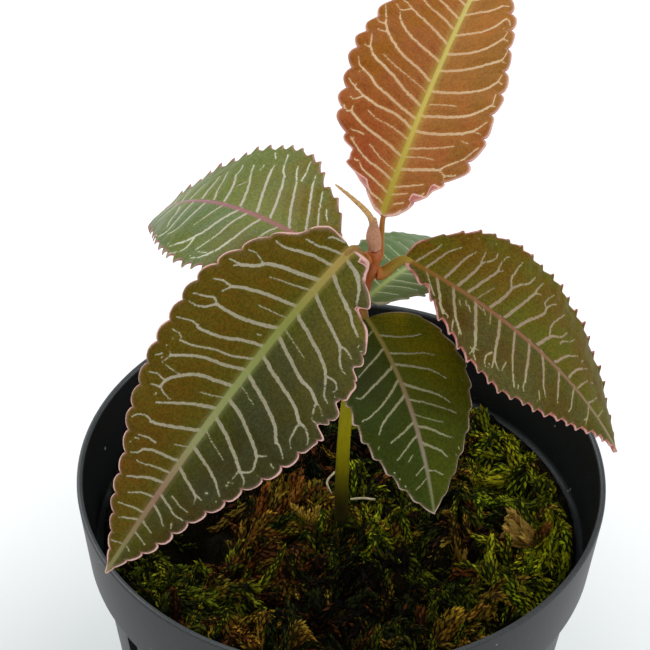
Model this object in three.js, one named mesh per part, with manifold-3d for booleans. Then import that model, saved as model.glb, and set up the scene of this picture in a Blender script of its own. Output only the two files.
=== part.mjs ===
// A potted ardisia: a young foliage plant with six scalloped, veined leaves in a black nursery pot.
// Millimetres, +Z up. The origin is the centre of the pot's underside, and the plant's front faces -Y.

import * as THREE from 'three';
import { mergeVertices } from 'three/addons/utils/BufferGeometryUtils.js';
import Module from 'manifold-3d';

const wasm = await Module();
wasm.setup();

// Pot: a thin tapered cup with a wider collar at the top
const POT_HEIGHT = 66;
const RIM_RADIUS = 37.5;
const POT_WALL = 0.9;
const POT_FLOOR = 1.4;
const COLLAR_DEPTH = 12.5;
const COLLAR_FOOT_RADIUS = 36;
const STEP_DEPTH = 1.2;
const BODY_TOP_RADIUS = 34.4;
const BASE_RADIUS = 27;
const BASE_EDGE = 0.8;
const RIM_EDGE = 0.25;
const POT_FACETS = 60;

// Side slots that air the roots, and drain holes round the solid middle of the floor
const SLOT_COUNT = 8;
const SLOT_WIDTH = 3.2;
const SLOT_LENGTH = 28;
const SLOT_TOP_BELOW_RIM = 14.7;
const SLOT_TURN = -58.8;
const DRAIN_COUNT = 6;
const DRAIN_RADIUS = 2.6;
const DRAIN_CIRCLE = 16;

// Filling: potting mix, then a bed of moss whose top lies about 12 mm under the rim
const CLEARANCE = 0.3;
const SOIL_TOP = 46;
const SOIL_FACETS = 48;
const MOSS_LEVEL = 54;
const MOSS_EDGE_INSET = 1.2;
const MOSS_SIDE_CLEARANCE = 0.45;
const MOSS_RINGS = 12;
const MOSS_FACETS = 54;
const TUFT_COUNT = 90;
const TUFT_HEIGHT = 3.2;
const TUFT_RADIUS = 1.3;
const TUFT_INSET = 5;
const TUFT_LEAN = 0.9;
const TUFT_SINK = 0.3;
const HOLLOW = { x: -19, y: -6, depth: 5, reach: 5 };

// Stem: rooted in the mix, green below, with the leaves in a loose spiral at its top
const STEM_COURSE = [
  [0.6, 0.3, 34],
  [0.3, 0, 45],
  [0.15, 0, 57],
  [0.12, 0, 69],
  [0.5, 0, 79],
  [2, 0, 97],
  [2.6, 0, 101.6],
  [3.5, 0, 105.2],
  [3.6, 0, 107.6],
];
const STEM_RADIUS_LOW = 1.08;
const STEM_RADIUS_HIGH = 0.72;
const ROOT_END_RADIUS = 0.5;
const ROOT_SHOULDER = 47;
const NODE_SWELL = 0.22;
const NODE_HEIGHTS = [96.6, 104, 107];
const STEM_RINGS = 34;
const STEM_FACETS = 12;

// Growing point: a swollen sheath with one rolled leaf standing out of it
const SHEATH_COURSE = [[3.62, 0, 108], [3.4, 0, 110.2], [3.4, 0, 113]];
const SHEATH_RADIUS = 1.02;
const SHEATH_FOOT_RADIUS = 0.7;
const SHEATH_MOUTH_RADIUS = 0.35;
const SPEAR_COURSE = [[3.4, 0, 111.2], [2.8, 0, 113.5], [0.5, 0, 116.4], [-1.8, 0, 118.7]];
const SPEAR_RADIUS = 0.45;
const SPEAR_TIP_RADIUS = 0.12;

// Leaf blades
const BLADE_THICKNESS = 0.6;
const BLADE_START = 0.012;
const TIP_HALF_WIDTH = 0.35;
const KEEL_DEPTH = 0.8;
const KEEL_HALF_WIDTH = 0.8;
const INNER_COLUMNS = [0.5, 0.87];
const SCALLOP_STEPS = [0, 0.3, 0.7];
const SHARP_STEPS = [0, 0.5, 0.82];
const RUFFLE_TEETH = 3.4;
const LOBE_ROUNDING = 0.03;
const MIDRIB_STEPS = 24;

// Petioles: thin rods that leave the stem level and taper into the midrib
const PETIOLE_LEVEL_RUN = 0.5;
const PETIOLE_TAPER = 0.45;
const PETIOLE_SHARES_IN_BLADE = [0.05, 0.12];
const PETIOLE_SINK = 0.2;
const PETIOLE_RINGS = 12;
const PETIOLE_FACETS = 8;

// Each leaf. Lengths are in mm and angles in degrees. The left half is the one on the left of someone
// who looks from the petiole to the tip.
//   node: height on the stem that the petiole leaves, base: where the blade starts
//   length, half: blade length and greatest half width, lopsided: how much wider the left half is
//   baseTaper, tipTaper: exponents of the outline at each end, with the skew of the left half after them
//   full: extra width at both shoulders, lobe: how far the basal corners reach back
//   heading and sweep, rise and droop: the midrib's direction and how it changes along the leaf
//   tilt and twist: turn of the blade about its midrib
//   fold and curl: lift of the halves at the midrib and their droop, with the left half's share after them
//   teeth: scallops on each side, lean: near 0 for round scallops, 2 for sharp teeth that point forwards
//   crowd: above 1 where the teeth are larger at the base than at the tip, ruffle: wave of the margin
//   uneven: bites and swells of the margin as [side, place along the midrib, change, reach]
const LEAVES = {
  leaf_top_young: {
    node: 105.4, base: [4.5, 1.7, 112], petiole: 0.5,
    length: 41.1, half: 13.1, lopsided: 0.02,
    baseTaper: [0.98, 0.08], tipTaper: [1.06, -0.1], full: 0.06, lobe: 0.8,
    heading: 65.9, sweep: 0.7, rise: 45.5, droop: [-29.7, -10.6],
    tilt: -9.8, twist: -7.5, fold: [10.8, -1.5], curl: [4, 0],
    teeth: 14, toothDepth: 0.9, lean: 0.1, crowd: 1.1, ruffle: 0.5, colour: '#9a5f24',
    uneven: [[1, 6, 1.3, 0.8], [1, 7.8, -0.9, 0.5], [-1, 8.2, 0.8, 1], [-1, 12.8, 0.5, 1.6], [-1, 18, 0.4, 3]],
  },
  leaf_front_left: {
    node: 106.8, base: [0.7, -1.6, 109.1], petiole: 0.75,
    length: 55, half: 13.3, lopsided: -0.01,
    baseTaper: [0.72, 0.13], tipTaper: [1.24, 0.1], full: 0, lobe: 2.4,
    heading: 217, sweep: 3.5, rise: -31.5, droop: [-27, 11.5],
    tilt: -20.5, twist: -5, fold: [1.5, -2], curl: [12.5, 0],
    teeth: 20, toothDepth: 0.7, lean: 0.1, crowd: 1.25, ruffle: 0.4, colour: '#57491c',
    uneven: [
      [1, 3, -0.9, 0.9], [1, 6.2, -1.9, 0.6], [1, 10.5, 0.5, 1.1], [1, 12.2, -1, 0.6], [1, 13.6, 0.7, 1],
      [1, 17.3, -1, 0.6], [1, 21.2, -1.5, 0.6], [1, 22.7, 0.7, 1], [1, 35, -0.4, 2.5], [1, 49, 1.1, 4.5],
      [-1, 4.4, -0.9, 1.1], [-1, 14, 0.6, 8], [-1, 40, -0.5, 4],
    ],
  },
  leaf_back_left: {
    node: 104, base: [-2, 3.8, 102.7], petiole: 0.7,
    length: 42.6, half: 11.8, lopsided: -0.04,
    baseTaper: [0.74, -0.15], tipTaper: [1.36, -0.16], full: -0.06, lobe: 0.8,
    heading: 143.8, sweep: -15.7, rise: 13.4, droop: [-67.4, -11.7],
    tilt: -9, twist: -1.8, fold: [5, -2.3], curl: [12, 6],
    teeth: 25, toothDepth: 0.75, lean: 2, crowd: 1.25, ruffle: 0.2, colour: '#66703f',
    uneven: [[-1, 8.6, -0.9, 1.6], [-1, 13, 0.4, 2]],
  },
  leaf_right: {
    node: 103.6, base: [7.5, 0.3, 105.9], petiole: 0.85,
    length: 42.1, half: 11.65, lopsided: 0.18,
    baseTaper: [0.99, -0.28], tipTaper: [1.2, -0.21], full: 0.01, lobe: 1,
    heading: -16.7, sweep: 0.4, rise: -16.1, droop: [-45.4, -4.1],
    tilt: 12.4, twist: -17.3, fold: [0.7, 0.9], curl: [14, 0],
    teeth: 22, toothDepth: 0.5, lean: 2, crowd: 1.1, ruffle: 0.25, colour: '#5f5320',
    uneven: [[1, 11, 0.5, 4], [-1, 5.6, -0.8, 1.2], [-1, 19, 0.5, 5]],
  },
  leaf_front_small: {
    node: 97.2, base: [2.7, -2.2, 97.3], petiole: 0.6,
    length: 28.7, half: 9.5, lopsided: 0.05,
    baseTaper: [0.51, -0.13], tipTaper: [0.92, 0.04], full: -0.03, lobe: 0,
    heading: -55.3, sweep: -15.2, rise: -16.3, droop: [-59.7, 12],
    tilt: -6, twist: 0.5, fold: [6.6, -1], curl: [6, 0],
    teeth: 11, toothDepth: 0.4, lean: 2, crowd: 1.1, ruffle: 0.1, colour: '#35491c',
    uneven: [],
  },
  leaf_back: {
    node: 96.4, base: [2.7, 2.4, 96.5], petiole: 0.55,
    length: 31, half: 8.8, lopsided: 0,
    baseTaper: [0.62, -0.07], tipTaper: [0.65, 0.01], full: 0.01, lobe: 1.7,
    heading: 60, sweep: -6, rise: -6.5, droop: [-28.5, -4],
    tilt: -3, twist: 1, fold: [8, -0.5], curl: [5, 0],
    teeth: 16, toothDepth: 0.45, lean: 2, crowd: 1, ruffle: 0.15, colour: '#4d7a55',
    uneven: [],
  },
};

// Seeded random numbers in 0..1
function makeRandom(seed) {
  let state = seed;
  return () => {
    state = (state * 1664525 + 1013904223) % 4294967296;
    return state / 4294967296;
  };
}

function toVector(list) {
  return new THREE.Vector3(...list);
}

function radians(degrees) {
  return THREE.MathUtils.degToRad(degrees);
}

// Bare closed geometry: positions only, shared vertices merged, no collapsed triangle, faces outwards
function cleaned(source) {
  const bare = source.clone();
  bare.deleteAttribute('normal');
  bare.deleteAttribute('uv');
  const merged = mergeVertices(bare, 1e-4);
  const index = Array.from(merged.index.array);
  const kept = [];
  for (let i = 0; i < index.length; i += 3) {
    const [a, b, c] = [index[i], index[i + 1], index[i + 2]];
    if (a !== b && b !== c && c !== a) kept.push(a, b, c);
  }
  merged.setIndex(kept);
  if (signedVolume(merged) < 0) {
    for (let i = 0; i < kept.length; i += 3) [kept[i], kept[i + 1]] = [kept[i + 1], kept[i]];
    merged.setIndex(kept);
  }
  return merged;
}

function signedVolume(geometry) {
  const points = geometry.attributes.position;
  const index = geometry.index.array;
  const [a, b, c] = [new THREE.Vector3(), new THREE.Vector3(), new THREE.Vector3()];
  let volume = 0;
  for (let i = 0; i < index.length; i += 3) {
    a.fromBufferAttribute(points, index[i]);
    b.fromBufferAttribute(points, index[i + 1]);
    c.fromBufferAttribute(points, index[i + 2]);
    volume += a.dot(b.cross(c)) / 6;
  }
  return volume;
}

function toSolid(geometry) {
  const bare = cleaned(geometry);
  return new wasm.Manifold(new wasm.Mesh({
    numProp: 3,
    vertProperties: new Float32Array(bare.attributes.position.array),
    triVerts: new Uint32Array(bare.index.array),
  }));
}

function toGeometry(solid) {
  const mesh = solid.getMesh();
  const geometry = new THREE.BufferGeometry();
  geometry.setAttribute('position', new THREE.BufferAttribute(mesh.vertProperties, 3));
  geometry.setIndex(new THREE.BufferAttribute(mesh.triVerts, 1));
  return geometry;
}

function asMesh(name, geometry, colour, roughness) {
  const shown = cleaned(geometry);
  shown.computeVertexNormals();
  const material = new THREE.MeshStandardMaterial({ color: colour, roughness, metalness: 0 });
  const mesh = new THREE.Mesh(shown, material);
  mesh.name = name;
  return mesh;
}

// A turned solid from [radius, height] pairs that start and end on the axis
function turned(profile, facets) {
  const geometry = new THREE.LatheGeometry(profile.map(([r, z]) => new THREE.Vector2(r, z)), facets);
  return geometry.rotateX(Math.PI / 2);
}

// A round rod along a smooth course, with a radius that changes along it and flat ends
function rod(course, radiusAt, rings, facets) {
  const curve = new THREE.CatmullRomCurve3(course.map(toVector), false, 'centripetal');
  const frames = curve.computeFrenetFrames(rings);
  const positions = [];
  const index = [];
  for (let i = 0; i <= rings; i += 1) {
    const centre = curve.getPointAt(i / rings);
    const radius = radiusAt(i / rings, centre.z);
    for (let k = 0; k < facets; k += 1) {
      const turn = (2 * Math.PI * k) / facets;
      const point = centre.clone()
        .addScaledVector(frames.normals[i], radius * Math.cos(turn))
        .addScaledVector(frames.binormals[i], radius * Math.sin(turn));
      positions.push(point.x, point.y, point.z);
    }
  }
  for (let i = 0; i < rings; i += 1) {
    for (let k = 0; k < facets; k += 1) {
      const next = (k + 1) % facets;
      const [a, b] = [i * facets + k, i * facets + next];
      index.push(a, b, b + facets, a, b + facets, a + facets);
    }
  }
  const last = rings * facets;
  for (let k = 1; k < facets - 1; k += 1) {
    index.push(0, k + 1, k, last, last + k, last + k + 1);
  }
  const geometry = new THREE.BufferGeometry();
  geometry.setAttribute('position', new THREE.Float32BufferAttribute(positions, 3));
  geometry.setIndex(index);
  return geometry;
}

// Pot wall sizes that the filling follows too
const STEP_TOP = POT_HEIGHT - COLLAR_DEPTH;
const STEP_FOOT = STEP_TOP - STEP_DEPTH;

function potInnerRadius(z) {
  if (z >= STEP_TOP) {
    return THREE.MathUtils.mapLinear(z, STEP_TOP, POT_HEIGHT, COLLAR_FOOT_RADIUS, RIM_RADIUS) - POT_WALL;
  }
  if (z >= STEP_FOOT) {
    return THREE.MathUtils.mapLinear(z, STEP_FOOT, STEP_TOP, BODY_TOP_RADIUS, COLLAR_FOOT_RADIUS) - POT_WALL;
  }
  return THREE.MathUtils.mapLinear(z, 0, STEP_FOOT, BASE_RADIUS, BODY_TOP_RADIUS) - POT_WALL;
}

function slotCutter(turn) {
  const round = SLOT_WIDTH / 2;
  const top = POT_HEIGHT - SLOT_TOP_BELOW_RIM - round;
  const bottom = top - SLOT_LENGTH + SLOT_WIDTH;
  const outline = new THREE.Shape();
  outline.absarc(0, top, round, 0, Math.PI);
  outline.absarc(0, bottom, round, Math.PI, 2 * Math.PI);
  const reach = 2 * (BODY_TOP_RADIUS - BASE_RADIUS);
  const block = new THREE.ExtrudeGeometry(outline, { depth: reach, bevelEnabled: false, curveSegments: 5 });
  block.rotateX(Math.PI / 2);
  block.translate(0, -(BASE_RADIUS - POT_WALL - 2), 0);
  return block.rotateZ(turn);
}

function drainCutter(turn) {
  const drill = new THREE.CylinderGeometry(DRAIN_RADIUS, DRAIN_RADIUS, 4 * POT_FLOOR, 12);
  drill.rotateX(Math.PI / 2);
  drill.translate(DRAIN_CIRCLE, 0, 0);
  return drill.rotateZ(turn);
}

function potGeometry() {
  const cup = turned([
    [0, 0],
    [BASE_RADIUS - BASE_EDGE, 0],
    [BASE_RADIUS, BASE_EDGE],
    [BODY_TOP_RADIUS, STEP_FOOT],
    [COLLAR_FOOT_RADIUS, STEP_TOP],
    [RIM_RADIUS, POT_HEIGHT - RIM_EDGE],
    [RIM_RADIUS - RIM_EDGE, POT_HEIGHT],
    [RIM_RADIUS - POT_WALL, POT_HEIGHT],
    [potInnerRadius(STEP_TOP), STEP_TOP],
    [potInnerRadius(STEP_FOOT), STEP_FOOT],
    [potInnerRadius(POT_FLOOR), POT_FLOOR],
    [0, POT_FLOOR],
  ], POT_FACETS);
  let solid = toSolid(cup);
  for (let i = 0; i < SLOT_COUNT; i += 1) {
    solid = solid.subtract(toSolid(slotCutter(radians(SLOT_TURN + (360 * i) / SLOT_COUNT))));
  }
  for (let i = 0; i < DRAIN_COUNT; i += 1) {
    solid = solid.subtract(toSolid(drainCutter((2 * Math.PI * i) / DRAIN_COUNT)));
  }
  return toGeometry(solid);
}

// The stem's course as a curve, and the point on it at a height
const stemCurve = new THREE.CatmullRomCurve3(STEM_COURSE.map(toVector), false, 'centripetal');

function stemPointAt(z) {
  let [low, high] = [0, 1];
  for (let i = 0; i < 40; i += 1) {
    const middle = (low + high) / 2;
    if (stemCurve.getPointAt(middle).z < z) low = middle;
    else high = middle;
  }
  return stemCurve.getPointAt(low);
}

function stemRadius(z) {
  if (z < ROOT_SHOULDER) {
    const share = THREE.MathUtils.inverseLerp(STEM_COURSE[0][2], ROOT_SHOULDER, z);
    return THREE.MathUtils.lerp(ROOT_END_RADIUS, STEM_RADIUS_LOW, share);
  }
  const top = STEM_COURSE[STEM_COURSE.length - 1][2];
  const share = THREE.MathUtils.inverseLerp(ROOT_SHOULDER, top, z);
  let radius = THREE.MathUtils.lerp(STEM_RADIUS_LOW, STEM_RADIUS_HIGH, share);
  for (const height of NODE_HEIGHTS) radius += NODE_SWELL * Math.exp(-((z - height) ** 2));
  return radius;
}

function stemGeometry() {
  return rod(STEM_COURSE, (share, z) => stemRadius(z), STEM_RINGS, STEM_FACETS);
}

// A plain hole that follows the stem through the filling
function stemHole() {
  const start = stemCurve.getPointAt(0);
  const course = [[start.x, start.y, start.z - 2], ...STEM_COURSE.slice(0, 5)];
  return toSolid(rod(course, () => STEM_RADIUS_LOW + CLEARANCE, 16, STEM_FACETS));
}

function soilGeometry() {
  const foot = POT_FLOOR + CLEARANCE;
  const block = turned([
    [0, foot],
    [potInnerRadius(foot) - CLEARANCE, foot],
    [potInnerRadius(SOIL_TOP) - CLEARANCE, SOIL_TOP],
    [0, SOIL_TOP],
  ], SOIL_FACETS);
  return toGeometry(toSolid(block).subtract(stemHole()));
}

// Relief of the moss bed: cushions about 9 mm across with smaller lumps on them, and one dark hollow
function mossRelief(x, y) {
  const cushions = Math.sin(0.71 * x + 1.3) * Math.cos(0.66 * y - 0.4) + 0.6 * Math.sin(0.45 * (x + y) + 2.1);
  const lumps = Math.sin(1.57 * x - 0.8 * y) + Math.cos(1.41 * y + 0.9 * x + 0.7);
  const distance = ((x - HOLLOW.x) ** 2 + (y - HOLLOW.y) ** 2) / HOLLOW.reach ** 2;
  return 1.1 * cushions + 0.55 * lumps - HOLLOW.depth * Math.exp(-distance);
}

function mossBed() {
  const foot = SOIL_TOP + CLEARANCE;
  const positions = [0, 0, foot];
  const index = [];
  const rows = [
    (turn) => [potInnerRadius(foot) - MOSS_SIDE_CLEARANCE, foot, turn],
    (turn) => [potInnerRadius(STEP_FOOT) - MOSS_SIDE_CLEARANCE, STEP_FOOT - CLEARANCE, turn],
  ];
  for (let ring = MOSS_RINGS; ring >= 1; ring -= 1) {
    const radius = (potInnerRadius(STEP_TOP) - MOSS_EDGE_INSET) * (ring / MOSS_RINGS);
    rows.push((turn) => {
      const height = MOSS_LEVEL + mossRelief(radius * Math.cos(turn), radius * Math.sin(turn));
      return [radius, ring === MOSS_RINGS ? Math.max(height, STEP_TOP + CLEARANCE) : height, turn];
    });
  }
  for (const row of rows) {
    for (let k = 0; k < MOSS_FACETS; k += 1) {
      const [radius, height, turn] = row((2 * Math.PI * k) / MOSS_FACETS);
      positions.push(radius * Math.cos(turn), radius * Math.sin(turn), height);
    }
  }
  positions.push(0, 0, MOSS_LEVEL + mossRelief(0, 0));
  const last = 1 + rows.length * MOSS_FACETS;
  for (let k = 0; k < MOSS_FACETS; k += 1) {
    const next = (k + 1) % MOSS_FACETS;
    index.push(0, 1 + next, 1 + k);
    for (let row = 0; row < rows.length - 1; row += 1) {
      const [a, b] = [1 + row * MOSS_FACETS + k, 1 + row * MOSS_FACETS + next];
      index.push(a, b, b + MOSS_FACETS, a, b + MOSS_FACETS, a + MOSS_FACETS);
    }
    const inner = last - MOSS_FACETS;
    index.push(inner + k, inner + next, last);
  }
  const geometry = new THREE.BufferGeometry();
  geometry.setAttribute('position', new THREE.Float32BufferAttribute(positions, 3));
  geometry.setIndex(index);
  return geometry;
}

// Blunt sprigs of moss, rooted well inside the bed and leaning every way
function mossTuft(random) {
  const radius = (potInnerRadius(STEP_TOP) - TUFT_INSET) * Math.sqrt(random());
  const turn = 2 * Math.PI * random();
  const [x, y] = [radius * Math.cos(turn), radius * Math.sin(turn)];
  const size = 0.7 + 0.6 * random();
  const sprig = new THREE.ConeGeometry(TUFT_RADIUS * size, 2 * TUFT_HEIGHT * size, 5);
  sprig.rotateX(Math.PI / 2);
  sprig.rotateX(TUFT_LEAN * (random() - 0.5));
  sprig.rotateY(TUFT_LEAN * (random() - 0.5));
  return sprig.translate(x, y, MOSS_LEVEL + mossRelief(x, y) - TUFT_SINK);
}

function mossGeometry() {
  const random = makeRandom(17);
  let solid = toSolid(mossBed());
  for (let i = 0; i < TUFT_COUNT; i += 1) solid = solid.add(toSolid(mossTuft(random)));
  return toGeometry(solid.subtract(stemHole()));
}

function shootGeometry() {
  const sheath = rod(SHEATH_COURSE, (share) => {
    const swelling = Math.sin(Math.PI * (0.25 + 0.75 * share));
    const plain = THREE.MathUtils.lerp(SHEATH_FOOT_RADIUS, SHEATH_MOUTH_RADIUS, share);
    return THREE.MathUtils.lerp(plain, SHEATH_RADIUS, swelling ** 2);
  }, 9, 10);
  const spear = rod(SPEAR_COURSE, (share) => {
    return THREE.MathUtils.lerp(SPEAR_RADIUS, SPEAR_TIP_RADIUS, share ** 1.5);
  }, 10, 8);
  return toGeometry(toSolid(sheath).add(toSolid(spear)));
}

// Direction of the midrib, of the left half and of the upper face at a share u of the leaf's length
function leafAxes(leaf, u) {
  const rise = radians(leaf.rise + leaf.droop[0] * u + leaf.droop[1] * u * u);
  const heading = radians(leaf.heading + leaf.sweep * u);
  const along = new THREE.Vector3(
    Math.cos(rise) * Math.cos(heading), Math.cos(rise) * Math.sin(heading), Math.sin(rise));
  const up = new THREE.Vector3(
    -Math.sin(rise) * Math.cos(heading), -Math.sin(rise) * Math.sin(heading), Math.cos(rise));
  const left = up.clone().cross(along);
  const turn = radians(leaf.tilt + leaf.twist * u);
  return {
    along,
    left: left.clone().multiplyScalar(Math.cos(turn)).addScaledVector(up, Math.sin(turn)),
    up: up.clone().multiplyScalar(Math.cos(turn)).addScaledVector(left, -Math.sin(turn)),
  };
}

// Point of the midrib at u, summed from the base in short straight steps
function midribPoint(leaf, u) {
  const point = toVector(leaf.base);
  for (let i = 0; i < MIDRIB_STEPS; i += 1) {
    const { along } = leafAxes(leaf, (u * (i + 0.5)) / MIDRIB_STEPS);
    point.addScaledVector(along, (leaf.length * u) / MIDRIB_STEPS);
  }
  return point;
}

// Half width of the plain outline, before the teeth, on side +1 (left) or -1 (right)
function halfWidth(leaf, side, u) {
  const rising = leaf.baseTaper[0] * (1 + side * leaf.baseTaper[1]);
  const falling = leaf.tipTaper[0] * (1 + side * leaf.tipTaper[1]);
  const widest = rising / (rising + falling);
  const taper = (u / widest) ** rising * ((1 - u) / (1 - widest)) ** falling;
  const shoulders = 1 + leaf.full * Math.sin(3 * Math.PI * u);
  let width = leaf.half * (1 + side * leaf.lopsided) * taper * shoulders;
  for (const [where, place, change, reach] of leaf.uneven) {
    if (where === side) width += change * Math.exp(-(((u * leaf.length - place) / reach) ** 2));
  }
  return Math.max(width, TIP_HALF_WIDTH);
}

// Teeth are counted from the base. These turn a count into a share of the length and back.
function shareAtCount(leaf, count) {
  return 1 - (1 - count / leaf.teeth) ** leaf.crowd;
}

function countAtShare(leaf, u) {
  return leaf.teeth * (1 - (1 - u) ** (1 / leaf.crowd));
}

// Height of a tooth's edge over the notches, from 0 to 1, at a share t of its length
function toothShape(leaf, t) {
  return Math.sin(Math.PI * t ** (1 + leaf.lean)) ** 0.6;
}

// A point of the blade's middle surface. k runs from 0 at the midrib to 1 at the margin.
function bladePoint(leaf, side, u, k, lift = 0) {
  const axes = leafAxes(leaf, u);
  const count = countAtShare(leaf, u);
  const fade = Math.min(1, 6 * u, 8 * (1 - u));
  const tooth = k === 1 ? fade * leaf.toothDepth * (toothShape(leaf, count % 1) - 0.6) : 0;
  const width = halfWidth(leaf, side, u) + tooth;
  const fold = radians(leaf.fold[0] + side * leaf.fold[1]);
  const curl = radians(leaf.curl[0] + side * leaf.curl[1]);
  const across = (Math.sin(fold) - Math.sin(fold - curl * k)) / curl;
  const raise = (Math.cos(fold - curl * k) - Math.cos(fold)) / curl;
  const wave = Math.sin((2 * Math.PI * count) / RUFFLE_TEETH + side) - 0.5 * Math.cos(2 * Math.PI * count);
  const ruffle = fade * leaf.ruffle * (1 - 0.5 * u) * k ** 4 * wave;
  const setBack = leaf.lobe * k * k * (1 - u) ** 10 * Math.min(1, u / LOBE_ROUNDING);
  return midribPoint(leaf, u)
    .addScaledVector(axes.left, side * width * across)
    .addScaledVector(axes.up, width * raise + ruffle + lift)
    .addScaledVector(axes.along, -setBack);
}

// One blade: two faces with the same triangles, a toothed margin and a keel under the midrib
function bladeGeometry(leaf) {
  const half = BLADE_THICKNESS / 2;
  const faces = { upper: [], under: [] };
  const triangles = [];
  const addVertex = (side, u, k) => {
    const keel = k === 0 ? KEEL_DEPTH * (1 - 0.8 * u) : 0;
    faces.upper.push(bladePoint(leaf, side, u, k, half));
    faces.under.push(bladePoint(leaf, side, u, k, -half - keel));
    return faces.upper.length - 1;
  };
  const shareAt = (count) => {
    return THREE.MathUtils.clamp(shareAtCount(leaf, count), BLADE_START, 1 - BLADE_START / 2);
  };
  const steps = leaf.lean > 1 ? SHARP_STEPS : SCALLOP_STEPS;
  const rib = [];
  for (let row = 0; row <= leaf.teeth; row += 1) rib.push(addVertex(1, shareAt(row), 0));
  const margins = {};
  const ends = {};
  for (const side of [1, -1]) {
    const columns = [rib];
    const keelShare = (u) => Math.min(0.35, (KEEL_HALF_WIDTH * (1 - 0.6 * u)) / halfWidth(leaf, side, u));
    columns.push(rib.map((_, row) => addVertex(side, shareAt(row), keelShare(shareAt(row)))));
    for (const k of INNER_COLUMNS) columns.push(rib.map((_, row) => addVertex(side, shareAt(row), k)));
    const margin = [];
    for (let tooth = 0; tooth < leaf.teeth; tooth += 1) {
      for (const step of steps) margin.push(addVertex(side, shareAt(tooth + step), 1));
    }
    margin.push(addVertex(side, shareAt(leaf.teeth), 1));
    const add = (a, b, c) => triangles.push(side > 0 ? [a, b, c] : [a, c, b]);
    for (let row = 0; row < leaf.teeth; row += 1) {
      for (let column = 0; column < columns.length - 1; column += 1) {
        const [inner, outer] = [columns[column], columns[column + 1]];
        add(inner[row], inner[row + 1], outer[row]);
        add(outer[row], inner[row + 1], outer[row + 1]);
      }
      const edge = columns[columns.length - 1];
      const m = margin.slice(row * steps.length, (row + 1) * steps.length + 1);
      add(edge[row], m[1], m[0]);
      add(edge[row], edge[row + 1], m[1]);
      add(edge[row + 1], m[2], m[1]);
      add(edge[row + 1], m[3], m[2]);
    }
    margins[side] = margin;
    ends[side] = columns.slice(1).map((column) => [column[0], column[leaf.teeth]]);
  }
  const boundary = [
    ...margins[1],
    ...ends[1].map((pair) => pair[1]).reverse(),
    rib[leaf.teeth],
    ...ends[-1].map((pair) => pair[1]),
    ...[...margins[-1]].reverse(),
    ...ends[-1].map((pair) => pair[0]).reverse(),
    rib[0],
    ...ends[1].map((pair) => pair[0]),
  ];
  return closedShell(faces, triangles, boundary);
}

// Joins two faces with equal triangles by a wall along their shared boundary
function closedShell(faces, triangles, boundary) {
  const count = faces.upper.length;
  const index = [];
  for (const [a, b, c] of triangles) index.push(a, b, c, count + a, count + c, count + b);
  boundary.forEach((a, i) => {
    const b = boundary[(i + 1) % boundary.length];
    index.push(a, b, count + b, a, count + b, count + a);
  });
  const geometry = new THREE.BufferGeometry();
  geometry.setFromPoints([...faces.upper, ...faces.under]);
  geometry.setIndex(index);
  return geometry;
}

// The petiole starts a clearance off the stem's skin and runs into the keel of the blade
function petioleGeometry(leaf) {
  const centre = stemPointAt(leaf.node);
  const base = toVector(leaf.base);
  const outwards = base.clone().sub(centre).setZ(0).normalize();
  const seat = centre.clone().addScaledVector(outwards, stemRadius(leaf.node) + CLEARANCE);
  const shoulder = seat.clone().addScaledVector(outwards, PETIOLE_LEVEL_RUN);
  const [entry, end] = PETIOLE_SHARES_IN_BLADE;
  const inKeel = midribPoint(leaf, end).addScaledVector(leafAxes(leaf, end).up, -PETIOLE_SINK);
  const course = [seat, shoulder, base, midribPoint(leaf, entry), inKeel].map((point) => point.toArray());
  return rod(course, (share) => leaf.petiole * (1 - PETIOLE_TAPER * share), PETIOLE_RINGS, PETIOLE_FACETS);
}

function leafGeometry(leaf) {
  return toGeometry(toSolid(bladeGeometry(leaf)).add(toSolid(petioleGeometry(leaf))));
}

const plant = new THREE.Group();
plant.add(asMesh('pot', potGeometry(), '#3a3c3d', 0.5));
plant.add(asMesh('soil', soilGeometry(), '#2b1f16', 0.95));
plant.add(asMesh('moss', mossGeometry(), '#4c5a1c', 0.95));
plant.add(asMesh('stem', stemGeometry(), '#7a7a24', 0.5));
plant.add(asMesh('shoot_tip', shootGeometry(), '#9a7a58', 0.7));
for (const [name, leaf] of Object.entries(LEAVES)) {
  plant.add(asMesh(name, leafGeometry(leaf), leaf.colour, 0.45));
}

export default plant;
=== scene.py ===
# %% [markdown]
# # A potted ardisia in Blender
# A young foliage plant stands in a black nursery pot: six scalloped leaves on one upright stem, each
# blade marked with pale forked veins, over a bed of living and dried moss.
# The imported model gives the frame. Each piece made here that takes the place of one of its plain solids
# keeps that solid's form, so nothing has to be moved or scaled to fit.

# %% Load the imported model and keep its box
import math
import random

import bpy
import numpy as np
from mathutils import Matrix, Vector


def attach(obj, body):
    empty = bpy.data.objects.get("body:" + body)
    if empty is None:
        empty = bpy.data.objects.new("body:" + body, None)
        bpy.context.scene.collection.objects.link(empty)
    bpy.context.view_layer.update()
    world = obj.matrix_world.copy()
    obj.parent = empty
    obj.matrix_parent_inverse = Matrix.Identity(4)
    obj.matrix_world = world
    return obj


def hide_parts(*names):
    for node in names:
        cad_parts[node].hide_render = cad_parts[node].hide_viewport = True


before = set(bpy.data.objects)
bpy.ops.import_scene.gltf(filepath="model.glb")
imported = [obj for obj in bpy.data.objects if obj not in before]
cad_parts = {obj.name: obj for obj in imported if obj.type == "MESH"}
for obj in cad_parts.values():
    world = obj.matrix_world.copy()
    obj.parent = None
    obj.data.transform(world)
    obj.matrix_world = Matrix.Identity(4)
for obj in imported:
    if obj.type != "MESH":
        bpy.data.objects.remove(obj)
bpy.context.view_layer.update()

MM = 0.001

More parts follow.
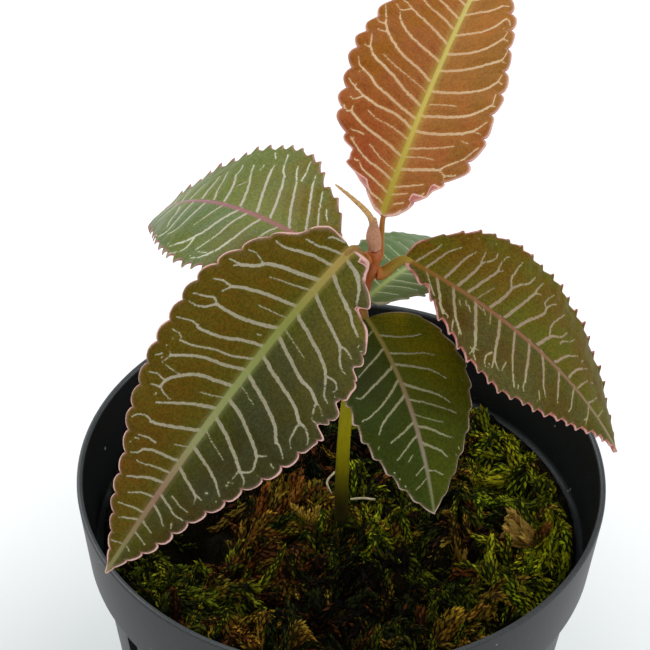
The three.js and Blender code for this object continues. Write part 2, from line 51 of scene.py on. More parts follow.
# %% [markdown]
# ## Camera
# The rim of the pot is a circle, so its ellipse in the photograph gives the angle that the camera looked
# down, and the way the ellipse is cut gives the distance. A long lens at about half a metre fits both.
# The camera is built from those few numbers, so that pieces land on the pixels where they were seen.

# %% Place the camera
def new_object(name, data):
    made = bpy.data.objects.new(name, data)
    bpy.context.scene.collection.objects.link(made)
    return made


PHOTO_PIXELS = 650
FOCAL_PIXELS = 3389
SENSOR_MM = 36
ELEVATION = math.radians(41.45)
ROLL = math.radians(-1.25)
RIM_CENTRE = np.array((0, 0, 66)) * MM
RIM_CENTRE_PIXEL = np.array((341.5, 474))
RIM_DISTANCE = 480 * MM

forward = np.array((0, math.cos(ELEVATION), -math.sin(ELEVATION)))
level_right = np.array((1, 0, 0))
level_up = np.array((0, math.sin(ELEVATION), math.cos(ELEVATION)))
right = level_right * math.cos(ROLL) - level_up * math.sin(ROLL)
upward = level_right * math.sin(ROLL) + level_up * math.cos(ROLL)
offset = (RIM_CENTRE_PIXEL - PHOTO_PIXELS / 2) / FOCAL_PIXELS * RIM_DISTANCE
eye = RIM_CENTRE - RIM_DISTANCE * forward - offset[0] * right + offset[1] * upward

camera_data = bpy.data.cameras.new("camera")
camera_data.sensor_width = SENSOR_MM
camera_data.lens = FOCAL_PIXELS / PHOTO_PIXELS * SENSOR_MM
camera_data.clip_start = 0.01
camera = new_object("camera", camera_data)
camera.matrix_world = Matrix([[*row] for row in zip(right, upward, -forward, eye)] + [[0, 0, 0, 1]])
bpy.context.scene.camera = camera
print("camera at", np.round(eye / MM, 1), "mm, lens", round(camera_data.lens, 1), "mm")

# %% [markdown]
# ## Colours and nodes
# Colours are written as the sRGB hex values that an eye would pick from a picture, and one function
# turns them into the linear values that a shader works in. One more small function adds a node, sets it
# and links it, so each material reads as a list of what the surface is made of. Two others take up what
# every finish repeats: one colour laid over another, and a surface given its colour and its relief.

# %% Turn hex colours linear
def linear(hex_colour):
    channels = [int(hex_colour[i:i + 2], 16) / 255 for i in (1, 3, 5)]
    return (*[c / 12.92 if c <= 0.04045 else ((c + 0.055) / 1.055) ** 2.4 for c in channels], 1.0)


def plain_colour(hex_colour):
    """The linear colour as an array of three, without its alpha."""
    return np.array(linear(hex_colour)[:3])


print("mid grey #808080 is", round(linear("#808080")[0], 3), "in linear light")


# %% Add a node with its settings and links
COLOUR, SOFT = {"data_type": "RGBA"}, {"interpolation_type": "SMOOTHSTEP"}


def add(tree, kind, sockets=(), output=None, **settings):
    """Values, links and hex colours go to sockets by name, or else in the order in which the node shows them.
    What comes back is the named output, or else the first that the node shows."""
    made = tree.nodes.new("ShaderNode" + kind)
    for key, value in settings.items():
        setattr(made, key, value)
    shown = [socket for socket in made.inputs if socket.enabled]
    for key, value in sockets.items() if isinstance(sockets, dict) else enumerate(sockets):
        socket = made.inputs[key] if isinstance(key, str) else shown[key]
        if isinstance(value, bpy.types.NodeSocket):
            tree.links.new(value, socket)
        else:
            socket.default_value = linear(value) if isinstance(value, str) else value
    return made.outputs[output] if output else next(socket for socket in made.outputs if socket.enabled)


print("colours mix as", COLOUR["data_type"], "and soft edges are a", SOFT["interpolation_type"])

# %% Start a material, lay one colour over another, cover a surface
def new_material(name, roughness, ior=1.45, specular=0.5):
    material = bpy.data.materials.new(name)
    material.use_nodes = True
    surface = material.node_tree.nodes["Principled BSDF"]
    for socket, value in (("Roughness", roughness), ("IOR", ior), ("Specular IOR Level", specular)):
        surface.inputs[socket].default_value = value
    return material, material.node_tree, surface


def layer(tree, under, over, value, span, shares=(0, 1), **settings):
    """The colour over has the first share where the value is below the span, and the second above it."""
    amount = add(tree, "MapRange", (value, *span, *shares), **settings)
    return add(tree, "Mix", (amount, under, over), **COLOUR)


def cover(tree, surface, colour, height, strength, depth):
    """Give the surface its colour, and a relief from height with its depth in mm."""
    tree.links.new(colour, surface.inputs["Base Color"])
    bump = add(tree, "Bump", {"Height": height, "Strength": strength, "Distance": depth * MM})
    tree.links.new(bump, surface.inputs["Normal"])


print("materials start from the Principled shader")

# %% [markdown]
# ## Studio
# The plant was photographed on a white sweep under wide soft light, so bright that the background burns
# out to white, except for a breath of grey near the pot. A pale floor with a painted grey shadow round the
# pot, a pale world and three large area lights do the same. Nothing sharp is lit, so gloss shows only as
# broad pale sheens on the leaves and the rim.

# %% Floor and world
FLOOR_SIZE, FLOOR_BELOW = 4, 0.1 * MM
GREY_WITHIN, WHITE_BEYOND = 0.05, 0.1
floor_mesh = bpy.data.meshes.new("floor")
corners = [(x * FLOOR_SIZE / 2, y * FLOOR_SIZE / 2, -FLOOR_BELOW)
           for x, y in ((-1, -1), (1, -1), (1, 1), (-1, 1))]
floor_mesh.from_pydata(corners, [], [(0, 1, 2, 3)])
floor = new_object("floor", floor_mesh)
floor_material, tree, surface = new_material("white_card", 0.9)
from_pot = add(tree, "VectorMath", [add(tree, "TexCoord", output="Object")], operation="LENGTH")
# Painted shadow: the card is grey within 5 cm of the pot's axis and turns white by 10 cm
card_with_painted_shade = layer(tree, "#dde1e1", "#ffffff", from_pot, (GREY_WITHIN, WHITE_BEYOND))
tree.links.new(card_with_painted_shade, surface.inputs["Base Color"])
floor_mesh.materials.append(floor_material)

world = bpy.data.worlds.new("studio")
world.use_nodes = True
world.node_tree.nodes["Background"].inputs["Color"].default_value = linear("#f4f6f8")
world.node_tree.nodes["Background"].inputs["Strength"].default_value = 0.65
bpy.context.scene.world = world
bpy.context.scene.view_settings.view_transform = "Standard"
print("floor is", FLOOR_SIZE, "m wide")

# %% Lights
# A light is (name, place in m, size in m, power in W), and looks at the middle of the plant
LIGHTS = [
    ("key_back_left", (-0.55, 0.55, 0.95), 0.7, 7), ("fill_right", (0.8, 0.1, 0.7), 0.6, 3.5),
    ("fill_front", (0.1, -0.9, 0.7), 0.8, 2.5),
]
MIDDLE_OF_PLANT = (0, 0, 0.08)
for name, place, size, power in LIGHTS:
    data = bpy.data.lights.new(name, "AREA")
    data.size, data.energy = size, power
    light = new_object(name, data)
    light.location = place
    towards = Vector(-np.array(place) + MIDDLE_OF_PLANT)
    light.rotation_euler = towards.to_track_quat("-Z", "Y").to_euler()
print("studio has", len(LIGHTS), "lights")

# %% [markdown]
# ## Meshes from arrays
# Plants are grown rather than assembled, so most pieces are computed as arrays of points. A piece is
# made from points in millimetres and faces, and gets its material, its body and the solid that it
# replaces in the same call. A smooth course through a few points carries the stem and the stalks.

# %% Make a piece from points and faces
def new_mesh(name, points, faces):
    mesh = bpy.data.meshes.new(name)
    mesh.from_pydata((np.asarray(points) * MM).tolist(), [], faces)
    return mesh


def make_piece(name, points, faces, materials, replaces=None, face_materials=None, smooth=True):
    mesh = new_mesh(name, points, faces)
    for material in materials:
        mesh.materials.append(material)
    if face_materials is not None:
        mesh.polygons.foreach_set("material_index", np.asarray(face_materials, dtype=np.int32))
    mesh.polygons.foreach_set("use_smooth", np.full(len(mesh.polygons), smooth))
    mesh.update()
    piece = new_object(name, mesh)
    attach(piece, "root")
    if replaces:
        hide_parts(replaces)
    return piece


def set_values(piece, name, values):
    values = np.asarray(values, dtype=np.float32)
    kind, key = {1: ("FLOAT", "value"), 2: ("FLOAT_VECTOR", "vector")}[values.ndim]
    piece.data.attributes.new(name, kind, "POINT").data.foreach_set(key, values.ravel())


print("points are typed in millimetres, of", MM, "m")

# %% Smooth course through points, spaced evenly
FINE_STEPS = 40


def smooth_course(points, count):
    """A curve that passes through every point and never loops between two, its points evenly spaced."""
    points = np.asarray(points, dtype=float)
    padded = np.vstack([2 * points[0] - points[1], points, 2 * points[-1] - points[-2]])
    knots = np.concatenate([[0], np.cumsum(np.linalg.norm(np.diff(padded, axis=0), axis=1) ** 0.5)])
    fine = []
    for i in range(1, len(padded) - 2):
        t0, t1, t2, t3 = knots[i - 1:i + 3]
        t = np.linspace(t1, t2, FINE_STEPS, endpoint=i == len(padded) - 3)[:, None]
        a1 = padded[i - 1] * (t1 - t) / (t1 - t0) + padded[i] * (t - t0) / (t1 - t0)
        a2 = padded[i] * (t2 - t) / (t2 - t1) + padded[i + 1] * (t - t1) / (t2 - t1)
        a3 = padded[i + 1] * (t3 - t) / (t3 - t2) + padded[i + 2] * (t - t2) / (t3 - t2)
        b1 = a1 * (t2 - t) / (t2 - t0) + a2 * (t - t0) / (t2 - t0)
        b2 = a2 * (t3 - t) / (t3 - t1) + a3 * (t - t1) / (t3 - t1)
        fine.append(b1 * (t2 - t) / (t2 - t1) + b2 * (t - t1) / (t2 - t1))
    fine = np.vstack(fine)
    length = np.concatenate([[0], np.cumsum(np.linalg.norm(np.diff(fine, axis=0), axis=1))])
    wanted = np.linspace(0, length[-1], count)
    return np.stack([np.interp(wanted, length, fine[:, i]) for i in range(points.shape[1])], axis=1)


arch = smooth_course([[0, 0, 0], [1, 0, 1], [2, 0, 2]], 9)
print("a course of 3 points spans", round(float(np.ptp(arch)), 2))

# %% Rod of round section along a course
def ring_faces(rings, sides, first=0):
    """Four-sided faces between each closed ring of points and the next."""
    return [
        [first + a * sides + k, first + a * sides + (k + 1) % sides,
         first + (a + 1) * sides + (k + 1) % sides, first + (a + 1) * sides + k]
        for a in range(rings - 1) for k in range(sides)
    ]


def rod(course, radii, sides, first=0):
    course = np.asarray(course, dtype=float)
    tangents = np.gradient(course, axis=0)
    tangents /= np.linalg.norm(tangents, axis=1)[:, None]
    turns = np.arange(sides) * 2 * math.pi / sides
    points = []
    across = np.cross(tangents[0], (0.3, 1, 0.2))
    for centre, tangent, radius in zip(course, tangents, radii):
        across = across - tangent * (across @ tangent)
        across /= np.linalg.norm(across)
        over = np.cross(tangent, across)
        ring = np.outer(np.cos(turns), across) + np.outer(np.sin(turns), over)
        points.append(centre + ring * radius)
    last = first + (len(course) - 1) * sides
    ends = [[first + k for k in reversed(range(sides))], [last + k for k in range(sides)]]
    return np.vstack(points), ring_faces(len(course), sides, first) + ends


print("a rod of 2 rings and 6 sides has", len(ring_faces(2, 6)), "faces round it")

# %% [markdown]
# ## Pot
# A nursery pot is injection moulded from black polypropylene: a thin tapered cup with a wider collar and
# a stacking step, side slots that air the roots and drain holes below. It could be modelled from a
# cylinder with modifiers, but a turned profile gives every wall its real thickness at once, with small
# radii where the mould has them. The slots and holes are then cut out with a boolean.

# %% Turn the pot's profile
POT_HEIGHT, RIM_RADIUS, POT_WALL, POT_FLOOR = 66, 37.5, 0.9, 1.4
COLLAR_FOOT_RADIUS, BODY_TOP_RADIUS, BASE_RADIUS = 36, 34.4, 27
STEP_TOP, STEP_FOOT = 53.5, 52.3
POT_SEGMENTS, POT_ROUNDING = 216, 0.45


def rounded(profile, radius, steps=4):
    """The profile with each inner corner replaced by a short curve."""
    points = [np.array(p, dtype=float) for p in profile]
    out = [points[0]]
    for before, corner, after in zip(points, points[1:], points[2:]):
        reach_in = min(radius, np.linalg.norm(before - corner) * 0.45)
        reach_out = min(radius, np.linalg.norm(after - corner) * 0.45)
        start = corner + (before - corner) / np.linalg.norm(before - corner) * reach_in
        end = corner + (after - corner) / np.linalg.norm(after - corner) * reach_out
        for t in np.linspace(0, 1, steps):
            out.append((1 - t) ** 2 * start + 2 * t * (1 - t) * corner + t * t * end)
    return [*out, points[-1]]


def turned(profile, segments):
    rings = [p for p in profile if p[0] > 1e-6]
    turns = np.arange(segments) * 2 * math.pi / segments
    points = [(r * math.cos(t), r * math.sin(t), z) for r, z in rings for t in turns]
    faces = ring_faces(len(rings), segments)
    middle, last = len(points), (len(rings) - 1) * segments
    points += [(0, 0, profile[0][1]), (0, 0, profile[-1][1])]
    faces += [[middle, (k + 1) % segments, k] for k in range(segments)]
    faces += [[middle + 1, last + k, last + (k + 1) % segments] for k in range(segments)]
    return points, faces


pot_profile = rounded([
    (0, 0), (BASE_RADIUS, 0), (BODY_TOP_RADIUS, STEP_FOOT), (COLLAR_FOOT_RADIUS, STEP_TOP),
    (RIM_RADIUS, POT_HEIGHT), (RIM_RADIUS - POT_WALL, POT_HEIGHT), (COLLAR_FOOT_RADIUS - POT_WALL, STEP_TOP),
    (BODY_TOP_RADIUS - POT_WALL, STEP_FOOT), (BASE_RADIUS - POT_WALL, POT_FLOOR), (0, POT_FLOOR),
], POT_ROUNDING)
pot_points, pot_faces = turned(pot_profile, POT_SEGMENTS)
print("pot profile has", len(pot_profile), "points")

# %% [markdown]
# The polypropylene is dyed black and left as it came from the mould. The mould's spark-eroded skin makes
# it satin, about 0.45 rough outside. Its grain of a tenth of a millimetre is drawn at 0.25 mm, so that it
# shows. Its black is painted darker inside as shade, is lighter grey where it faces up, and has dust specks.

# %% Black polypropylene
pot_material, tree, surface = new_material("black_polypropylene", 0.42, ior=1.49, specular=0.35)
place = add(tree, "TexCoord", output="Object")
grain = add(tree, "TexNoise", (place, 1 / (0.25 * MM), 3))
cloud = add(tree, "TexNoise", (place, 1 / (14 * MM), 4))
dust = add(tree, "TexNoise", (place, 1 / (1.1 * MM), 1))
level = add(tree, "VectorMath", (place, (1, 1, 0)), operation="MULTIPLY")
outwards = add(tree, "VectorMath", [level], operation="NORMALIZE")
facing = add(tree, "NewGeometry", output="Normal")
outside = add(tree, "VectorMath", (facing, outwards), operation="DOT_PRODUCT")
outside = add(tree, "MapRange", (outside, -0.2, 0.6))
worn = add(tree, "Mix", (cloud, "#1b1d1e", "#242628"), **COLOUR)
# Inside the pot the black is painted darker: painted shade
skin = add(tree, "Mix", (outside, "#191b1b", worn), **COLOUR)
facing_up = add(tree, "SeparateXYZ", [facing], output="Z")
# Where the pot faces up its black is made lighter grey
lighter_facing_up = layer(tree, skin, "#3c4042", facing_up, (0.15, 0.9), (0, 0.8))
light_and_dark = add(tree, "MapRange", (grain, 0.35, 0.65, 0.7, 1.4))
grained = add(tree, "VectorMath", (lighter_facing_up, light_and_dark), operation="SCALE")
specked = layer(tree, grained, "#8d8a84", dust, (0.785, 0.8))
cover(tree, surface, specked, grain, 0.5, 0.06)
satin = add(tree, "MapRange", (outside, 0, 1, 0.32, 0.46))
tree.links.new(satin, surface.inputs["Roughness"])
pot = make_piece("nursery_pot", pot_points, pot_faces, [pot_material], "pot")
print("pot has", len(pot.data.polygons), "faces before the cuts")

# %% Cut the side slots and the drain holes
SLOT_COUNT, SLOT_WIDTH, SLOT_LENGTH, SLOT_TOP_BELOW_RIM, SLOT_TURN = 8, 3.2, 28, 14.7, -58.8
DRAIN_COUNT, DRAIN_RADIUS, DRAIN_CIRCLE = 6, 2.6, 16
SHARP_ANGLE = math.radians(35)


def arc(turns, radius):
    return np.column_stack([np.cos(turns), np.sin(turns)]) * radius


def prism(outline, near, far):
    count = len(outline)
    points = np.vstack([np.column_stack([outline, np.full(count, end)]) for end in (near, far)])
    return points, ring_faces(2, count) + [list(range(count))[::-1], list(range(count, 2 * count))]


cutter_points, cutter_faces = [], []


def add_cutter(points, faces):
    first = sum(len(p) for p in cutter_points)
    cutter_points.append(points)
    cutter_faces.extend([[first + i for i in face] for face in faces])


slot_end = arc(np.linspace(0, math.pi, 9), SLOT_WIDTH / 2)
slot_top = POT_HEIGHT - SLOT_TOP_BELOW_RIM - SLOT_WIDTH / 2
slot_bottom = slot_top - SLOT_LENGTH + SLOT_WIDTH
slot_outline = np.vstack([slot_end + (0, slot_top), (0, slot_bottom) - slot_end])
slot_points, slot_faces = prism(slot_outline, BASE_RADIUS - 3, BODY_TOP_RADIUS + 4)
x, z, outward = slot_points.T
for i in range(SLOT_COUNT):
    turn = math.radians(SLOT_TURN + 360 * i / SLOT_COUNT)
    turned_x = x * math.cos(turn) + outward * math.sin(turn)
    turned_y = x * math.sin(turn) - outward * math.cos(turn)
    add_cutter(np.column_stack([turned_x, turned_y, z]), slot_faces)
drain_hole = arc(np.arange(24) * 2 * math.pi / 24, DRAIN_RADIUS)
for i in range(DRAIN_COUNT):
    turn = 2 * math.pi * i / DRAIN_COUNT
    add_cutter(*prism(drain_hole + (DRAIN_CIRCLE * math.cos(turn), DRAIN_CIRCLE * math.sin(turn)), -3, 4))

cutter = new_object("pot_cutters", new_mesh("pot_cutters", np.vstack(cutter_points), cutter_faces))
cut = pot.modifiers.new("cut", "BOOLEAN")
cut.object = cutter
cut.solver = "EXACT"
bpy.context.view_layer.update()
cut_mesh = bpy.data.meshes.new_from_object(pot.evaluated_get(bpy.context.evaluated_depsgraph_get()))
pot.modifiers.clear()
pot.data = cut_mesh
pot.data.set_sharp_from_angle(angle=SHARP_ANGLE)
bpy.data.objects.remove(cutter)
print("pot has", len(pot.data.polygons), "faces after the cuts")

# %% [markdown]
# ## Potting mix
# The mix is composted bark and fibre, damp and nearly black. Only its edge shows, through the slots and
# the drain holes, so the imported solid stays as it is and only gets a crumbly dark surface.

# %% Damp bark mix
soil_material, tree, surface = new_material("damp_bark_mix", 0.9)
place = add(tree, "TexCoord", output="Object")
crumbs = add(tree, "TexVoronoi", (place, 1 / (1.6 * MM)))
fibre = add(tree, "TexNoise", (place, 1 / (0.6 * MM), 4))
mixed = add(tree, "Mix", (crumbs.node.outputs["Color"], "#1a120c", "#4a3524"), **COLOUR)
cover(tree, surface, mixed, add(tree, "Math", (crumbs, fibre)), 0.8, 0.5)
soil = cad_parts["soil"]
soil.data.materials.clear()
soil.data.materials.append(soil_material)
print("potting mix keeps its packed solid:", soil.name)

# %% [markdown]
# ## Moss bed
# The mix is covered with feathery moss, part of it living and part dried. It grows in tufts, and between
# the tufts are deep dark gaps. A bump map would look flat at the edge of every gap, so the bed is real
# geometry in two layers: a cushion, painted dark as shade, with the imported solid's relief and a mound under
# every tuft, and about 1,760 plump branches of overlapping leaves, most of which spread from the tufts.

# %% Places and kinds of the tufts
MOSS_LEVEL, MOSS_FOOT, MOUND_REACH = 54, 46.3, 2.9
# The hollow is (x, y, depth, reach), in mm
HOLLOW, HOLLOW_MARGIN = (-20.6, -0.8, 7.5, 6.0), 1.3
MOSS_RADIUS = COLLAR_FOOT_RADIUS - POT_WALL - 1.2
TUFTS, TUFT_TRIES, TUFT_SPACING, TUFT_CROWDING = 100, 5000, 5.2, 0.35
# Colours at the foot and at the tip of a branch, and how often each kind grows; besides its own colour, the
# dark foot is painted shade and the pale tip painted light
MOSS_COLOURS = {
    "deep": ("#0b0f03", "#2e360a"), "green": ("#141b03", "#5c650e"), "fresh": ("#232c05", "#9ea41a"),
    "gold": ("#30220a", "#a88628"), "brown": ("#1a0d04", "#6a3e14"), "dark": ("#080602", "#241a0a"),
}
MOSS_SHARES = [24, 27, 12, 10, 14, 13]
# Where one kind prevails, and how bright it is: (x, y, reach, kind, brightness)
MOSS_PATCHES = [
    (23, 16, 9, "fresh", 0.95), (29, 5, 6, "green", 1.1), (27, -12, 8, "fresh", 1.1),
    (18, -21, 7, "green", 1.05), (6, -14, 9, "dark", 0.55), (12, -5, 6, "deep", 0.8),
    (-24, -12, 8, "green", 1.15), (-9, -9, 6, "brown", 0.8), (-3, 6, 6, "gold", 1.1),
    (6, 2, 5, "fresh", 1.0), (0, -24, 8, "deep", 0.9), (31, -4, 5, "fresh", 1.7),
]
# The bank along the right wall: (x, y, height, kind, brightness)
BANK = [(x, y, 3.6, "fresh", 0.95) for x, y in (
    (19.6, 21.0), (21.6, 18.6), (23.6, 15.9), (25.4, 13.0), (27.0, 10.0), (28.6, 6.8), (29.8, 3.6))]
moss_random = random.Random(5)


def pick_tuft():
    radius, turn = (MOSS_RADIUS - 1.5) * math.sqrt(moss_random.random()), 2 * math.pi * moss_random.random()
    x, y = radius * math.cos(turn), radius * math.sin(turn)
    kind, brightness = moss_random.choices(list(MOSS_COLOURS), MOSS_SHARES)[0], 0.9
    for patch_x, patch_y, reach, prevailing, patch_brightness in MOSS_PATCHES:
        if math.hypot(x - patch_x, y - patch_y) < reach:
            brightness = patch_brightness
            kind = prevailing if moss_random.random() < 0.7 else kind
    return x, y, moss_random.uniform(0.4, 3.4), kind, brightness


tufts = list(BANK)
for _ in range(TUFT_TRIES):
    tuft = pick_tuft()
    x, y = tuft[:2]
    spacing = TUFT_SPACING * (1 - TUFT_CROWDING * len(tufts) / TUFTS)
    in_hollow = math.hypot(x - HOLLOW[0], y - HOLLOW[1]) < HOLLOW[3] + HOLLOW_MARGIN
    beside_wall = x > 0 and y > 0 and math.hypot(x, y) > MOSS_RADIUS - 3
    free = all(math.hypot(x - t[0], y - t[1]) > spacing for t in tufts)
    if len(tufts) < TUFTS and free and not in_hollow and not beside_wall:
        tufts.append(tuft)
print("tufts:", len(tufts), {kind: sum(t[3] == kind for t in tufts) for kind in MOSS_COLOURS})


# %% Relief of the cushion
def moss_relief(x, y):
    cushions = np.sin(0.71 * x + 1.3) * np.cos(0.66 * y - 0.4) + 0.6 * np.sin(0.45 * (x + y) + 2.1)
    lumps = np.sin(1.57 * x - 0.8 * y) + np.cos(1.41 * y + 0.9 * x + 0.7)
    hollow_x, hollow_y, depth, reach = HOLLOW
    distance = ((x - hollow_x) ** 2 + (y - hollow_y) ** 2) / reach ** 2
    return 1.1 * cushions + 0.55 * lumps - depth * np.exp(-distance)


def tuft_mounds(x, y):
    mound = np.zeros(np.shape(x))
    for tuft_x, tuft_y, height, *_ in tufts:
        away = ((x - tuft_x) ** 2 + (y - tuft_y) ** 2) / MOUND_REACH ** 2
        mound = np.maximum(mound, height * np.exp(-away))
    return mound


def moss_height(x, y):
    crumbs = np.sin(4.1 * x + 1.7 * y) * np.sin(3.3 * y - 2.2 * x)
    crumbs = crumbs + np.sin(7.3 * x + 0.9) * np.sin(6.7 * y + 2.3 * x)
    return MOSS_LEVEL - 0.9 + moss_relief(x, y) + tuft_mounds(x, y) + 0.25 * crumbs


print("moss height at the stem:", round(float(moss_height(2.0, 0.0)), 1), "mm")

# %% [markdown]
# Dead moss under the living branches is a felt of brown and dark green threads, painted near black as shade.
# It is very rough, and its colour changes every few millimetres with how wet and how old it is.

# %% Felt of dead moss, painted dark as shade
shaded_felt_material, tree, surface = new_material("dead_moss_felt_painted_dark", 0.95, specular=0.1)
place = add(tree, "TexCoord", output="Object")
patches = add(tree, "TexNoise", (place, 1 / (5 * MM), 3))
threads = add(tree, "TexNoise", {"Vector": place, "Scale": 1 / (0.45 * MM), "Detail": 5, "Distortion": 1.5})
# The felt is kept near black, painted shade of the deep gaps between the tufts
felt = layer(tree, "#0c0d03", "#150d05", patches, (0.4, 0.6))
felt = layer(tree, felt, "#332c0e", threads, (0.5, 0.8))
cover(tree, surface, felt, threads, 1, 0.4)
print("felt has", len(tree.nodes), "nodes")

# %% Cushion under the branches
STEM_HOLE = (0.2, 0, 1.38)
WALL_GAP = 0.45
RINGS, SPOKES = 84, 216
spokes = np.arange(SPOKES) * 2 * math.pi / SPOKES
wall_foot = BASE_RADIUS + (BODY_TOP_RADIUS - BASE_RADIUS) * MOSS_FOOT / STEP_FOOT - POT_WALL - WALL_GAP
wall_top = BODY_TOP_RADIUS - POT_WALL - WALL_GAP


def ring_at(radius, height, centre_x=0.0, centre_y=0.0):
    x, y = radius * np.cos(spokes) + centre_x, radius * np.sin(spokes) + centre_y
    return np.column_stack([x, y, height(x, y) if callable(height) else np.full(SPOKES, height)])


cushion = []
for ring in range(RINGS + 1):
    inwards = 1 - ring / RINGS
    radius = MOSS_RADIUS + (STEM_HOLE[2] - MOSS_RADIUS) * inwards
    cushion.append(ring_at(radius, moss_height, STEM_HOLE[0] * inwards, STEM_HOLE[1] * inwards))
cushion[-1][:, 2] = np.maximum(cushion[-1][:, 2], STEP_TOP + 0.3)
cushion.append(ring_at(wall_top, STEP_FOOT - 0.3))
cushion.append(ring_at(wall_foot, MOSS_FOOT))
cushion.append(ring_at(STEM_HOLE[2], MOSS_FOOT, STEM_HOLE[0], STEM_HOLE[1]))
rows = len(cushion)
cushion_faces = [
    [a * SPOKES + k, ((a + 1) % rows) * SPOKES + k,
     ((a + 1) % rows) * SPOKES + (k + 1) % SPOKES, a * SPOKES + (k + 1) % SPOKES]
    for a in range(rows) for k in range(SPOKES)
]
make_piece("moss_cushion", np.vstack(cushion), cushion_faces, [shaded_felt_material], "moss")
print("moss cushion has", len(cushion_faces), "faces")

# %% [markdown]
# A branch of this moss is plump and tapers to a point, 3 to 9 mm long, because its small pointed leaves
# overlap like shingles all round. So a branch is a spindle with a spiral of closed slivers laid over it,
# and it has a real outline from every side. It is painted dark at its foot and at each leaf's root, as the
# shade where leaves overlap, and pale at its tip and where leaves point up, as painted light. Branches of
# a tuft share an age, from dark green through yellow-green and gold to dead brown, with a rusty leaf here
# and there.

# %% Lay one branch
GOLDEN_TURN = math.radians(137.5)
LEAVES_PER_SQUARE_MM, FEWEST_LEAVES = 6.9, 14
SPINDLE_SIDES, SPINDLE_CORE = 5, 0.72
# A moss leaf's widest place and half width, as shares of its length
LEAF_WIDEST, LEAF_HALF_WIDTH = 0.42, 0.19
RUST, RUSTY_SHARE = plain_colour("#7a4012"), 0.08


def unit(vectors):
    return vectors / np.linalg.norm(vectors, axis=1)[:, None]


def random_values(low, high, count):
    return np.array([moss_random.uniform(low, high) for _ in range(count)])[:, None]


def grow_branch(bed, course, thickness, colours, openness, leaf_size=1.0):
    """A spindle along the course with overlapping leaves, added to the bed's points, faces and tints."""
    points, faces, tints = bed
    foot_colour, tip_colour = colours
    length = np.linalg.norm(np.diff(course, axis=0), axis=1).sum()
    share = np.linspace(0, 1, len(course))
    plump = thickness * (0.35 + 0.65 * np.sin(math.pi * np.clip(share, 0, 1) ** 0.8)) * (1 - 0.55 * share)
    body_points, body_faces = rod(course, plump * SPINDLE_CORE, SPINDLE_SIDES, len(points))
    points.extend(body_points)
    faces.extend(body_faces)
    # The spindle is painted darker towards its foot: painted shade
    tints.extend(np.repeat(foot_colour * (0.6 + 0.8 * share[:, None]), SPINDLE_SIDES, axis=0))

    count = max(FEWEST_LEAVES, int(length * thickness * LEAVES_PER_SQUARE_MM))
    at = np.linspace(0.02, 0.98, count)
    centre = np.stack([np.interp(at, share, course[:, i]) for i in range(3)], -1)
    tangent = unit(np.gradient(centre, axis=0))
    side = unit(np.cross(tangent, (0.1, 0.2, 1.0)))
    over = np.cross(side, tangent)
    turn = GOLDEN_TURN * np.arange(count)[:, None] + random_values(-0.3, 0.3, count)
    out = side * np.cos(turn) + over * np.sin(turn)
    across = np.cross(tangent, out)
    width = np.interp(at, share, plump)[:, None]
    size = leaf_size * (0.9 + 0.5 * width) * (1 - 0.3 * at[:, None]) * random_values(0.8, 1.2, count)
    opening = openness * random_values(0.5, 1.5, count)
    root = centre + out * width * 0.6
    pointing = tangent * np.cos(opening) + out * np.sin(opening)
    middle = root + pointing * size * LEAF_WIDEST + out * 0.06
    aside = across * size * LEAF_HALF_WIDTH
    corners = np.stack([root, middle + aside, middle - aside, root + pointing * size], 1)
    first = len(points) + 4 * np.arange(count)[:, None]
    points.extend(corners.reshape(-1, 3))
    for triangle in ((0, 1, 2), (1, 3, 2), (0, 3, 1), (0, 2, 3)):
        faces.extend((first + triangle).tolist())
    # Painted light: leaves nearer the tip and leaves pointing up get more of the pale tip colour
    light = (0.2 + 0.55 * at + 0.25 * np.clip(out[:, 2], -1, 1))[:, None]
    shade = foot_colour + (tip_colour - foot_colour) * np.clip(light, 0, 1)
    rusty = random_values(0, 1, count) < RUSTY_SHARE
    shade = np.where(rusty, 0.5 * shade + 0.3 * RUST, shade) * random_values(0.75, 1.25, count)
    # Each leaf is painted darker at its root, as shade under the leaf before, and lighter at its tip
    tints.extend(np.stack([shade * 0.55, shade * 0.95, shade * 0.95, shade * 1.2], 1).reshape(-1, 3))


print("each leaf turns", round(math.degrees(GOLDEN_TURN), 1), "degrees from the last")


# %% Shades of a branch and its way over the cushion
def shades(kind, brightness):
    hue = np.array([moss_random.uniform(*span) for span in ((0.86, 1.18), (0.92, 1.08), (0.7, 1.2))])
    return [plain_colour(colour) * hue * brightness for colour in MOSS_COLOURS[kind]]


# Near the right wall, round this direction in radians, branches keep further off
BARE_WALL_AT, BARE_WALL_GAP = 0.45, 2.2


def course_on_moss(foot, heading, length, rise, clear, bend):
    """A course that starts at the foot, keeps to the cushion and lifts its tip, clear of the pot's wall."""
    t = np.linspace(0, 1, 6)[:, None]
    ahead = np.array((math.cos(heading), math.sin(heading)))
    aside = np.array((-math.sin(heading), math.cos(heading)))
    course = foot + length * (ahead * t + aside * bend * t ** 2)
    towards_bare = np.maximum(0, np.cos(np.arctan2(course[:, 1], course[:, 0]) - BARE_WALL_AT)) ** 12
    gap = 0.7 + clear + BARE_WALL_GAP * towards_bare
    course *= np.minimum(1, (MOSS_RADIUS - gap) / np.linalg.norm(course, axis=1))[:, None]
    lifted = clear + length * rise * (t - 0.4 * t ** 2)[:, 0]
    return np.column_stack([course, moss_height(course[:, 0], course[:, 1]) + lifted])


print("branches keep", BARE_WALL_GAP, "mm further off the bare wall")

# %% Grow the branches of every tuft
BRANCHES_PER_TUFT = 17
COMBED_SHARE, BIG_SHARE, RISING_SHARE, PURE_SHARE = 0.6, 0.35, 0.25, 0.75
CLEAR_OF_WALL, CLEAR_OF_STEM = 1.8, 2.0


